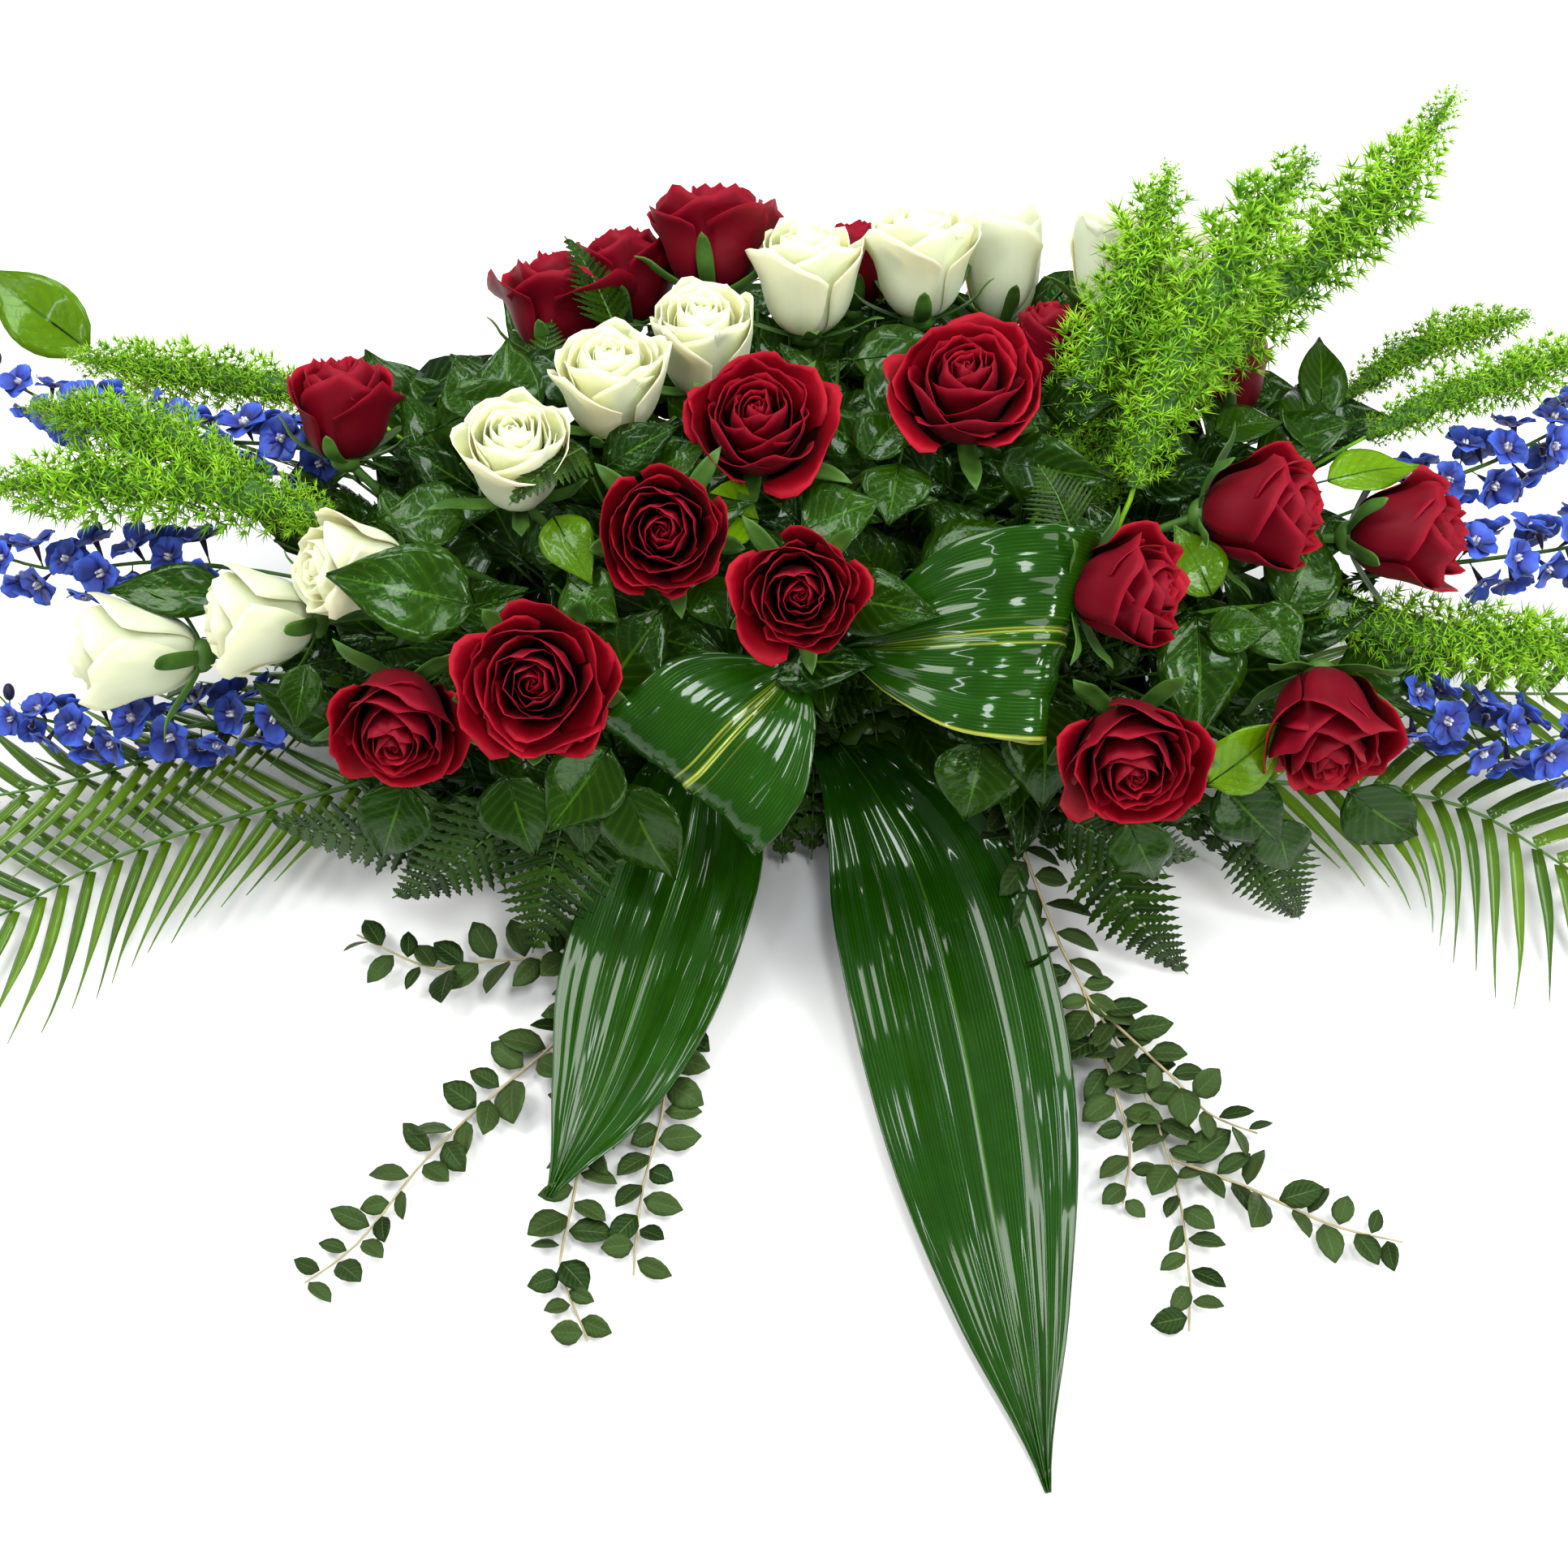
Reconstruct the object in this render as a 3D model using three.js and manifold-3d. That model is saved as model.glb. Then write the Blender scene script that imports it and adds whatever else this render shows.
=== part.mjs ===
// A long, low flower arrangement: red and white roses, delphinium, foxtail fern and mixed foliage,
// with their stems in a block of foam that sits in a tray.
// Millimetres, +Z up. The origin is the centre of the tray's underside, and the front faces -Y.

import * as THREE from "three";
import { mergeVertices } from "three/addons/utils/BufferGeometryUtils.js";
import Module from "manifold-3d";

const wasm = await Module();
wasm.setup();

// Driving dimensions
const FOAM = { length: 430, depth: 110, height: 80 };
const TRAY = { wall: 2.5, floor: 3, rim: 32 };
const CLEARANCE = 0.4;
const STEM_DEPTH = 30;
const BLADE = 0.9;
const SURFACE_GAP = 1.2;

// The slanted view that the arrangement is made for: its directions across, up and out to the viewer
const VIEW_TILT = THREE.MathUtils.degToRad(55);
const VIEW_CENTRE = new THREE.Vector3(0, -155, 140);
const ACROSS = new THREE.Vector3(1, 0, 0);
const UP = new THREE.Vector3(0, Math.sin(VIEW_TILT), Math.cos(VIEW_TILT));
const OUT = new THREE.Vector3(0, -Math.cos(VIEW_TILT), Math.sin(VIEW_TILT));

// The mound that the blooms and leaves lie on: half its width, its radius in section and its axis height
const MOUND = { halfWidth: 540, radius: 195, axis: 60 };

function at([across, up, out]) {
  return VIEW_CENTRE.clone().addScaledVector(ACROSS, across).addScaledVector(UP, up).addScaledVector(OUT, out);
}

// A direction in the view: turn goes round from across to up, and lean tips it away from the viewer
function heading(turn, lean) {
  const a = THREE.MathUtils.degToRad(turn);
  const b = THREE.MathUtils.degToRad(lean);
  return new THREE.Vector3()
    .addScaledVector(ACROSS, Math.sin(b) * Math.cos(a))
    .addScaledVector(UP, Math.sin(b) * Math.sin(a))
    .addScaledVector(OUT, Math.cos(b));
}

function outward(point) {
  const flat = (MOUND.radius / MOUND.halfWidth) ** 2;
  return new THREE.Vector3(point.x * flat, point.y, point.z - MOUND.axis).normalize();
}

function through(points) {
  return new THREE.CatmullRomCurve3(points.map((p) => (p.isVector3 ? p : new THREE.Vector3(...p))));
}

function inView(points) {
  return through(points.map(at));
}

// Solids from geometries

function solid(geometry) {
  geometry.deleteAttribute("normal");
  geometry.deleteAttribute("uv");
  const merged = mergeVertices(geometry, 1e-3);
  const triVerts = Uint32Array.from(merged.index.array);
  const body = new wasm.Manifold(new wasm.Mesh({
    numProp: 3, vertProperties: merged.attributes.position.array, triVerts }));
  return body;
}

function join(bodies) {
  return bodies.reduce((whole, body) => whole.add(body));
}

function box(size, centre) {
  return solid(new THREE.BoxGeometry(...size).translate(...centre));
}

function tube(curve, radius, sides = 3, steps = 2) {
  const corners = Array.from({ length: sides }, (_, k) => {
    const angle = 2 * Math.PI * k / sides;
    return new THREE.Vector2(radius * Math.cos(angle), radius * Math.sin(angle));
  });
  return solid(new THREE.ExtrudeGeometry(new THREE.Shape(corners), { steps, extrudePath: curve }));
}

// A closed sheet made of flat polygons that share their edges. Both of its faces have the same triangles,
// so they stay parallel when the sheet is bent.
function sheet(polygons, thickness) {
  const triangles = polygons.flatMap((polygon) => {
    const corners = polygon.map(([x, y]) => new THREE.Vector2(x, y));
    return THREE.ShapeUtils.triangulateShape(corners, []).map((triangle) => triangle.map((i) => corners[i]));
  });
  const edges = triangles.flatMap(([a, b, c]) => [[a, b], [b, c], [c, a]]);
  const name = (from, to) => [from.x, from.y, to.x, to.y].join();
  const inside = new Set(edges.map(([a, b]) => name(b, a)));
  const front = (corner) => [corner.x, corner.y, thickness / 2];
  const back = (corner) => [corner.x, corner.y, -thickness / 2];
  const faces = triangles.flatMap(([a, b, c]) => [front(a), front(b), front(c), back(c), back(b), back(a)]);
  const rim = edges.filter(([a, b]) => !inside.has(name(a, b)))
    .flatMap(([a, b]) => [front(a), back(a), back(b), front(a), back(b), front(b)]);
  return new THREE.BufferGeometry().setAttribute("position",
    new THREE.Float32BufferAttribute([...faces, ...rim].flat(), 3));
}

// Bends a flat piece along a curve. In the piece, y runs from 0 to 1 along the curve, x goes sideways
// and z off its face. What would sink into the surface below lies on it instead.
function bend(geometry, curve, side) {
  const place = geometry.attributes.position;
  const length = curve.getLength();
  for (let i = 0; i < place.count; i++) {
    const t = THREE.MathUtils.clamp(place.getY(i), 0, 1);
    const along = curve.getTangentAt(t);
    const sideways = side.clone().projectOnPlane(along).normalize();
    const off = sideways.clone().cross(along);
    const point = curve.getPointAt(t)
      .addScaledVector(along, (place.getY(i) - t) * length)
      .addScaledVector(sideways, place.getX(i));
    point.z += Math.max(0, SURFACE_GAP - point.z);
    point.addScaledVector(off, place.getZ(i));
    place.setXYZ(i, point.x, point.y, point.z);
  }
  return solid(geometry);
}

// The body grown by the clearance, for cutting room for it
function grown(body) {
  const mesh = body.getMesh();
  const places = Array.from({ length: mesh.numVert }, (_, i) =>
    new THREE.Vector3().fromArray(mesh.vertProperties, i * mesh.numProp));
  const faces = places.map(() => []);
  for (let t = 0; t < mesh.numTri; t++) {
    const corners = Array.from(mesh.triVerts.slice(3 * t, 3 * t + 3));
    const triangle = new THREE.Triangle(...corners.map((i) => places[i]));
    const normal = triangle.getNormal(new THREE.Vector3());
    if (triangle.getArea() > 0.01) corners.forEach((i) => faces[i].push(normal));
  }
  const vertProperties = new Float32Array(3 * mesh.numVert);
  places.forEach((place, i) => {
    const distinct = faces[i].filter((n, k) => faces[i].slice(0, k).every((m) => m.dot(n) < 0.98));
    const normal = distinct.reduce((sum, n) => sum.add(n), new THREE.Vector3()).normalize();
    const least = Math.min(1, ...distinct.map((n) => n.dot(normal)));
    place.clone().addScaledVector(normal, CLEARANCE / Math.max(least, 0.35)).toArray(vertProperties, 3 * i);
  });
  return new wasm.Manifold(new wasm.Mesh({ numProp: 3, vertProperties, triVerts: mesh.triVerts }));
}

// Stems: each one starts in the foam below its plant, nearer the middle than the plant is and lower
// where the plant starts low, and leaves a plain hole in the foam
const ROOTS = { reach: [190, 42], spread: [290, 130], deeper: 0.55, lowFrom: 150, lowTo: 90 };
const STEM_BEND = 0.4;
const holes = [];

function rootOf(end) {
  const low = THREE.MathUtils.inverseLerp(ROOTS.lowFrom, ROOTS.lowTo, end.z);
  return new THREE.Vector3(
    ROOTS.reach[0] * Math.tanh(end.x / ROOTS.spread[0]),
    ROOTS.reach[1] * Math.tanh(end.y / ROOTS.spread[1]),
    FOAM.height + TRAY.floor - STEM_DEPTH * (1 + ROOTS.deeper * THREE.MathUtils.clamp(low, 0, 1)));
}

function stem(end, direction, radius, sides = 3, steps = 2) {
  const root = rootOf(end);
  const turn = end.clone().addScaledVector(direction, -STEM_BEND * end.distanceTo(root));
  const deeper = root.clone().lerp(turn, -1 / root.distanceTo(turn));
  holes.push(tube(new THREE.QuadraticBezierCurve3(deeper, turn, end), radius + 2 * CLEARANCE, sides, steps));
  return tube(new THREE.QuadraticBezierCurve3(root, turn, end), radius, sides, steps);
}

// Roses

const ROSE_STEM = 2.9;
const ROSE_PETALS = 5;

// Rings of a bloom from its base to its heart: radius and height as shares of the bloom's size,
// and how far the petals of that ring stand out of it
const ROSE_RINGS = [
  [0, 0, 0], [0.68, 0.16, 0.03], [1, 0.76, 0.1], [0.76, 0.66, -0.05],
  [0.64, 0.97, -0.1], [0.34, 0.78, 0.05], [0, 1, 0],
];

function bloom(base, direction, width, height) {
  const profile = ROSE_RINGS.map(([r, y]) => new THREE.Vector2(r * width / 2, y));
  const geometry = new THREE.LatheGeometry(profile, 2 * ROSE_PETALS);
  const place = geometry.attributes.position;
  for (let i = 0; i < place.count; i++) {
    const lobe = ROSE_RINGS[i % ROSE_RINGS.length][2];
    const spoke = Math.floor(i / ROSE_RINGS.length);
    const wave = lobe * (spoke % 2 === 0 ? 1 : -1);
    place.setXYZ(i, place.getX(i) * (1 + wave), place.getY(i) - 0.4 * wave, place.getZ(i) * (1 + wave));
  }
  const tip = base.clone().addScaledVector(direction, height);
  return bend(geometry, new THREE.LineCurve3(base, tip), Math.abs(direction.x) < 0.8 ? ACROSS : UP);
}

function rose([across, up, out, turn, lean, width, height]) {
  const direction = heading(turn, lean);
  const base = at([across, up, out]).addScaledVector(direction, -height / 2);
  const seat = base.clone().addScaledVector(direction, height * 0.12);
  return stem(seat, direction, ROSE_STEM).add(bloom(base, direction, width, height));
}

// Each rose: the middle of its bloom across, up and out, its turn and lean, its width and height
const RED_ROSES = [
  [-49, 322, -95, 100, 92, 70, 66],
  [-151, 282, -108, 120, 85, 70, 64],
  [-99, 307, -128, 100, 90, 60, 60],
  [-9, 197, 10, 60, 25, 80, 55],
  [106, 220, -10, 70, 30, 84, 58],
  [-72, 136, 44, 200, 15, 74, 60],
  [8, 102, 60, 270, 10, 70, 55],
  [-140, 55, 45, 200, 15, 84, 58],
  [-224, 36, 20, 230, 45, 72, 60],
  [-275, 209, -60, 135, 75, 64, 60],
  [264, 154, 5, 8, 64, 72, 68],
  [353, 138, -30, -5, 70, 68, 66],
  [184, 97, 40, -15, 56, 67, 60],
  [193, 16, 35, -70, 35, 80, 58],
  [321, 39, 0, -45, 65, 74, 68],
  [283, 247, -135, 60, 80, 60, 58],
  [47, 314, -137, 80, 85, 54, 54],
  [163, 258, -88, 75, 70, 50, 50],
];
const WHITE_ROSES = [
  [-372, 68, -55, 190, 85, 68, 72],
  [-292, 81, -15, 200, 75, 64, 62],
  [-236, 110, 5, 200, 60, 62, 60],
  [-166, 175, 5, 140, 50, 68, 60],
  [-105, 222, -15, 110, 45, 70, 60],
  [-54, 252, -55, 110, 45, 68, 64],
  [11, 295, -80, 95, 60, 72, 66],
  [85, 306, -85, 80, 65, 72, 66],
  [141, 312, -125, 75, 85, 62, 70],
  [203, 306, -88, 70, 80, 60, 64],
  [248, 303, -126, 60, 85, 60, 64],
];

// Foxtail fern: a dense plume of needle tufts on a slim core

const PLUME = { spokes: 8, step: 21, core: 0.45, lean: 13, stem: 2 };

function plume(points, width) {
  const curve = inView(points);
  const length = curve.getLength();
  const rings = Math.round(length / PLUME.step);
  const profile = Array.from({ length: rings + 1 }, (_, k) => new THREE.Vector2(k % rings ? 1 : 0, k / rings));
  const geometry = new THREE.LatheGeometry(profile, PLUME.spokes);
  const place = geometry.attributes.position;
  for (let i = 0; i < place.count; i++) {
    const t = place.getY(i);
    const isTuft = (i % (rings + 1) + Math.floor(i / (rings + 1))) % 2 === 0;
    const full = width / 2 * Math.min(1, 0.45 + 2.5 * t, 0.35 + 2.6 * (1 - t));
    const r = full * (isTuft ? 1 : PLUME.core);
    const isEnd = t === 0 || t === 1;
    place.setXYZ(i, place.getX(i) * r, t + (isTuft && !isEnd ? PLUME.lean / length : 0), place.getZ(i) * r);
  }
  const body = bend(geometry, curve, OUT);
  const start = curve.getPointAt(0.06);
  return stem(start, curve.getTangentAt(0), PLUME.stem).add(body);
}

function foxtail(plumes) {
  return join(plumes.map(([points, width]) => plume(points, width)));
}

// Each frond: its plumes, each with its line from base to tip and its width
const FOXTAILS = [
  [[[[159, 188, -42], [175, 239, -34], [201, 294, -30], [219, 349, -34]], 48]],
  [[[[197, 166, -15], [206, 203, -10], [229, 257, -8], [261, 307, -12], [295, 352, -20]], 56]],
  [[[[228, 210, -72], [261, 248, -72], [317, 314, -68], [355, 351, -65], [387, 398, -60]], 54]],
  [[[[333, 229, -110], [367, 254, -112], [406, 271, -115], [448, 281, -118]], 32]],
  [[[[339, 202, -70], [386, 226, -75], [440, 244, -80], [485, 262, -85]], 36]],
  [[[[302, 101, -52], [344, 92, -55], [391, 83, -62], [480, 78, -80]], 48]],
  [[[[-270, 231, -140], [-310, 242, -140], [-349, 248, -140], [-435, 260, -140]], 40]],
  [[[[-254, 151, -40], [-300, 163, -42], [-347, 172, -46], [-464, 172, -55]], 50],
    [[[-300, 163, -42], [-322, 182, -44], [-362, 204, -48], [-434, 218, -56]], 36]],
];

// Delphinium: a stem with open florets low on it and buds toward its tip

const FLORET = { petals: 5, length: 18, width: 28 };
const SPIKE = { stem: 2, gap: 31, goldenAngle: 137.5, towardViewer: 0.62, openShare: 0.62 };

function floret(root, direction, size) {
  const isOpen = size > 0.6;
  const profile = (isOpen ? [[0, 0], [0.12, 0.4], [1, 0.95], [0, 0.8]] : [[0, 0], [0.45, 0.6], [0, 1.1]])
    .map(([r, y]) => new THREE.Vector2(r * size * FLORET.width / 2, y));
  const geometry = new THREE.LatheGeometry(profile, isOpen ? FLORET.petals : 4);
  const tip = root.clone().addScaledVector(direction, FLORET.length * size);
  const sunk = root.clone().addScaledVector(direction, -2.5);
  return bend(geometry, new THREE.LineCurve3(sunk, tip), Math.abs(direction.x) < 0.8 ? ACROSS : UP);
}

function delphinium(points) {
  const curve = inView(points);
  const count = Math.round(curve.getLength() / SPIKE.gap);
  const pieces = [
    stem(curve.getPointAt(0.02), curve.getTangentAt(0), SPIKE.stem),
    tube(curve, SPIKE.stem, 3, 5),
  ];
  for (let k = 1; k <= count; k++) {
    const t = k / count;
    const size = t < SPIKE.openShare ? 1 : 1 - 1.5 * (t - SPIKE.openShare);
    const along = curve.getTangentAt(t);
    const turn = SPIKE.towardViewer * ((k * SPIKE.goldenAngle) % 360 - 180);
    const round = OUT.clone().projectOnPlane(along).normalize()
      .applyAxisAngle(along, THREE.MathUtils.degToRad(turn));
    pieces.push(floret(curve.getPointAt(t), round.addScaledVector(along, 0.35).normalize(), size));
  }
  return join(pieces);
}

const DELPHINIUMS = [
  [[-262, 196, -105], [-306, 202, -100], [-349, 205, -97], [-430, 224, -97], [-493, 260, -105]],
  [[-322, 127, -85], [-372, 131, -90], [-438, 128, -97], [-505, 151, -110]],
  [[-286, 50, -85], [-330, 38, -95], [-379, 32, -100], [-440, 38, -103], [-498, 56, -110]],
  [[355, 168, -92], [390, 180, -95], [431, 196, -100], [510, 237, -120]],
  [[384, 128, -70], [415, 132, -74], [450, 137, -80], [531, 153, -105]],
  [[350, 48, -70], [385, 38, -73], [421, 29, -80], [518, 8, -100]],
];

// Blades: a thin arched sheet with its stalk, bent along a line. What grows on a rib is cut out of the
// sheet as lobes on both sides of it.

// A stretch of rib for each pair of lobes. Each lobe leaves the rib, runs through its points (share of the
// reach, share of the spacing) and comes back.
function comb({ pairs, start = 0.02, reach, sweep, rib, lobe }) {
  const spacing = (0.98 - start) / pairs;
  const lows = Array.from({ length: pairs + 1 }, (_, k) => start + spacing * k);
  const stretches = lows.slice(0, -1).map((low, k) => {
    const tip = reach((low - start) / (1 - start));
    const edge = lobe.map(([out, along]) => [rib + out * tip, low + (0.4 + along) * spacing + sweep * out]);
    return [[rib, low], ...edge, [rib, low + 0.8 * spacing], [rib, lows[k + 1]]];
  });
  return [[[rib, 0], [rib, lows[0]]], ...stretches, [[rib, lows[pairs]], [0, 1]]];
}

function mirrored(edge) {
  return [...edge, ...edge.filter(([x]) => x > 0).map(([x, y]) => [-x, y]).reverse()];
}

// The edges are those on the right of the rib, one for each polygon of the blade
function blade(curve, side, edges, { droop = 0, fold = 0 } = {}) {
  const geometry = sheet(edges.map(mirrored), BLADE);
  const place = geometry.attributes.position;
  for (let i = 0; i < place.count; i++) {
    const x = Math.abs(place.getX(i));
    place.setZ(i, place.getZ(i) - droop * x ** 2 + fold * x);
  }
  return bend(geometry, curve, side);
}

// Palm fronds: long narrow leaflets on both sides of the rib

const PALM = { pairs: 8, leaflet: 115, sweep: 0.16, rib: 1.8, stem: 2, droop: 0.0016 };

function palm({ points, side, leaflet = PALM.leaflet }) {
  const curve = through(points);
  const reach = (t) => leaflet * (0.45 + 0.75 * t) * Math.min(1, 2.6 * (1.04 - t));
  const edge = comb({ pairs: PALM.pairs, reach, sweep: PALM.sweep, rib: PALM.rib, lobe: [[1, 0]] });
  const start = curve.getPointAt(0.02);
  return blade(curve, side, edge, { droop: PALM.droop }).add(stem(start, curve.getTangentAt(0), PALM.stem));
}

const PALMS = [
  { points: [[-250, -92, 52], [-345, -114, 38], [-407, -133, 26], [-464, -161, 14], [-506, -180, 8]],
    side: new THREE.Vector3(0.45, -0.89, 0) },
  { points: [[-252, -8, 62], [-340, -56, 54], [-430, -86, 44], [-530, -98, 32]],
    side: new THREE.Vector3(0.1, -1, 0), leaflet: 80 },
  { points: [[250, -92, 56], [351, -96, 50], [409, -108, 46], [465, -139, 30], [502, -164, 15]],
    side: new THREE.Vector3(-0.45, -0.89, 0) },
  { points: [[252, 0, 66], [350, -30, 68], [435, -33, 62], [536, -20, 45]],
    side: new THREE.Vector3(0.1, -1, 0), leaflet: 80 },
];

// Aspidistra: one long pleated leaf on a channelled stalk

const ASPIDISTRA = { thickness: 1.2, pleat: 1.5, cells: [4, 9], stalk: 2.4 };

function aspidistra({ curve, side, widths }) {
  const [nx, ny] = ASPIDISTRA.cells;
  const cells = Array.from({ length: nx * ny }, (_, k) => {
    const [column, row] = [k % nx, Math.floor(k / nx)];
    return [[column, row], [column + 1, row], [column + 1, row + 1], [column, row + 1]];
  });
  const geometry = sheet(cells, ASPIDISTRA.thickness);
  const shape = new THREE.SplineCurve(widths.map((w, k) => new THREE.Vector2(k / (widths.length - 1), w)));
  const place = geometry.attributes.position;
  for (let i = 0; i < place.count; i++) {
    const column = place.getX(i);
    const t = place.getY(i) / ny;
    const pleat = ASPIDISTRA.pleat * (column % 2 ? 1 : -1);
    place.setXYZ(i, (column / nx - 0.5) * shape.getPoint(t).y, t, place.getZ(i) + pleat);
  }
  return join([
    bend(geometry, curve, side),
    stem(curve.getPointAt(0.03), curve.getTangentAt(0), ASPIDISTRA.stalk),
  ]);
}

const ASPIDISTRAS = {
  aspidistra_loop_right: {
    curve: inView([[48, 62, -30], [85, 72, -2], [122, 78, 10], [146, 78, 20], [154, 79, 34], [144, 81, 47],
      [110, 80, 50], [66, 77, 34], [30, 74, 10]]),
    side: ACROSS.clone().multiplyScalar(0.316).addScaledVector(UP, 0.949),
    widths: [8, 60, 100, 114, 116, 114, 100, 58, 6],
  },
  aspidistra_loop_left: {
    curve: inView([[-4, 52, -40], [-22, 28, -18], [-40, 10, -4], [-53, 2, 8], [-56, 0, 21], [-46, 8, 31],
      [-28, 28, 33], [-6, 50, 26], [8, 66, 12]]),
    side: ACROSS.clone().multiplyScalar(0.79).addScaledVector(UP, -0.61),
    widths: [8, 62, 98, 110, 112, 110, 100, 62, 8],
  },
  aspidistra_tail_left: {
    curve: through([[-36, -70, 66], [-51, -104, 68], [-60, -145, 48], [-78, -202, 30], [-100, -278, 20],
      [-130, -345, 12]]),
    side: new THREE.Vector3(1, 0.12, 0),
    widths: [10, 82, 97, 90, 56, 4],
  },
  aspidistra_tail_right: {
    curve: through([[30, -70, 66], [54, -108, 62], [80, -156, 40], [102, -252, 22], [118, -377, 14],
      [137, -508, 3]]),
    side: new THREE.Vector3(1, 0.12, 0),
    widths: [10, 102, 120, 104, 60, 3],
  },
};

// Leaves: an oval blade with a pointed tip on its stalk

const STALK = 1.1;
const LEAF_EDGE = [[0.76, 0.14], [1, 0.45], [0.6, 0.8]];
const SMALL_LEAF_EDGE = [[0.92, 0.24], [0.8, 0.62]];

function leaf(knot, base, tip, width) {
  const reach = base.distanceTo(tip);
  const stalk = knot.distanceTo(base) / (knot.distanceTo(base) + reach);
  const edge = (width > 44 ? LEAF_EDGE : SMALL_LEAF_EDGE)
    .map(([x, y]) => [x * width / 2, stalk + y * (1 - stalk)]);
  const face = outward(base.clone().lerp(tip, 0.5));
  const middle = base.clone().lerp(tip, 0.5).addScaledVector(face, 0.06 * reach);
  const side = tip.clone().sub(base).cross(face).normalize();
  return blade(through([knot, base, middle, tip]), side, [[[0, 0], [STALK, stalk], ...edge, [0, 1]]],
    { fold: 0.12 });
}

// A branch that forks: a limb from its hub for each group, with the group's blades along the limb
function fork({ hub: place, groups }, grow) {
  const hub = new THREE.Vector3(...place);
  const direction = hub.clone().sub(rootOf(hub)).normalize();
  const pieces = [stem(hub.clone().addScaledVector(direction, 2), direction, 2.4, 3, 1)];
  for (const rows of groups) {
    const bases = rows.map(([base]) => at(base));
    const middle = bases.reduce((sum, base) => sum.add(base), new THREE.Vector3()).divideScalar(rows.length);
    pieces.push(tube(new THREE.LineCurve3(hub, hub.clone().lerp(middle, 0.72)), 1.8, 3, 1));
    rows.forEach(([base, tip, width], k) => {
      const knot = hub.clone().lerp(middle, 0.7 - 0.12 * k);
      pieces.push(grow(knot, at(base), at(tip), width));
    });
  }
  return join(pieces);
}

// Salal: each leaf has its base and its tip, across, up and out, and its width
const SALAL = {
  salal_left: {
    hub: [-84, -44, 112],
    groups: [
      [[[-168, 97, 28], [-246, 112, 42], 54], [[-178, 148, -10], [-226, 148, -8], 42],
        [[-126, 146, 20], [-104, 108, 32], 30], [[-118, 112, 22], [-90, 88, 32], 34]],
      [[[-318, 108, -50], [-392, 112, -58], 32], [[-262, 66, 6], [-272, 30, -2], 26]],
      [[[-209, 0, 2], [-228, -44, -24], 42]],
      [[[-96, 20, 10], [-131, -26, 0], 46], [[-88, 0, 6], [-62, -58, -22], 46],
        [[-112, 10, -4], [-112, -42, -22], 36], [[-153, 6, 2], [-140, -42, -12], 44]],
      [[[-156, 198, -36], [-160, 258, -62], 44], [[-175, 206, -30], [-190, 240, -50], 28],
        [[-74, 172, 2], [-43, 186, 2], 34]],
      [[[-102, 46, 8], [-64, 98, 20], 50], [[-47, 112, 16], [-31, 84, 20], 28],
        [[-14, 146, 2], [-54, 150, 8], 40], [[10, 138, 20], [53, 155, 20], 40]],
    ],
  },
  salal_right: {
    hub: [172, -46, 106],
    groups: [
      [[[110, 24, 0], [101, -22, -8], 50], [[143, 48, 10], [145, -16, -8], 50]],
      [[[228, 92, 6], [229, 24, 2], 52], [[232, 84, 12], [270, 86, 14], 26], [[262, 98, -6], [285, 66, -2], 38],
        [[236, 104, 8], [214, 142, 12], 34], [[280, 96, -14], [306, 150, -36], 46]],
      [[[236, 0, -6], [278, 36, 2], 40], [[245, 0, -14], [283, -34, -40], 42],
        [[191, -20, -4], [213, -58, -34], 36], [[278, -20, -30], [291, -50, -56], 34]],
      [[[308, 172, -30], [363, 180, -50], 32], [[300, 192, -48], [302, 236, -86], 34],
        [[312, 214, -70], [318, 266, -100], 30], [[245, 200, -36], [285, 206, -44], 32],
        [[228, 190, -44], [196, 168, -44], 36]],
      [[[64, 178, -6], [57, 142, 10], 40], [[58, 204, -20], [67, 256, -66], 32],
        [[44, 181, -8], [74, 212, -28], 34]],
      [[[326, -4, -58], [374, -34, -84], 44]],
    ],
  },
};

// Salal at the back: two branches along the foam, with leaves that hang over its back, and one leaf more
// at the end of the long left branch
const BACK = { y: 104, z: 94, reach: 250, leaves: 5, leaf: [80, 46] };
const FAR_LEAF = { limb: [[-345, 126, 112], [-420, 160, 146]], base: [-433, 167, 152], tip: [-505, 210, 183],
  width: 46 };

function salalBack() {
  const middle = new THREE.Vector3(6, BACK.y - 22, BACK.z);
  const pieces = [stem(middle, new THREE.Vector3(0, 0.6, 0.8), 2.4)];
  for (const way of [-1, 1]) {
    const branch = through([middle, new THREE.Vector3(way * BACK.reach / 2, BACK.y, BACK.z + 4),
      new THREE.Vector3(way * BACK.reach, BACK.y - 4, BACK.z + 8)]);
    pieces.push(tube(branch, 2, 3, 4));
    for (let k = 0; k < BACK.leaves; k++) {
      const rise = [0.8, -0.55, 0.15][k % 3];
      const direction = new THREE.Vector3(way * 0.3, Math.cos(rise), Math.sin(rise)).normalize();
      const knot = branch.getPointAt((k + 0.8) / BACK.leaves);
      const base = knot.clone().addScaledVector(direction, 14);
      pieces.push(leaf(knot, base, knot.clone().addScaledVector(direction, BACK.leaf[0]), BACK.leaf[1]));
    }
  }
  const limb = through([[-BACK.reach, BACK.y - 4, BACK.z + 8], ...FAR_LEAF.limb]);
  const [base, tip] = [FAR_LEAF.base, FAR_LEAF.tip].map((place) => new THREE.Vector3(...place));
  pieces.push(tube(limb, 2, 3, 4), leaf(limb.getPointAt(1), base, tip, FAR_LEAF.width));
  return join(pieces);
}

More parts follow.
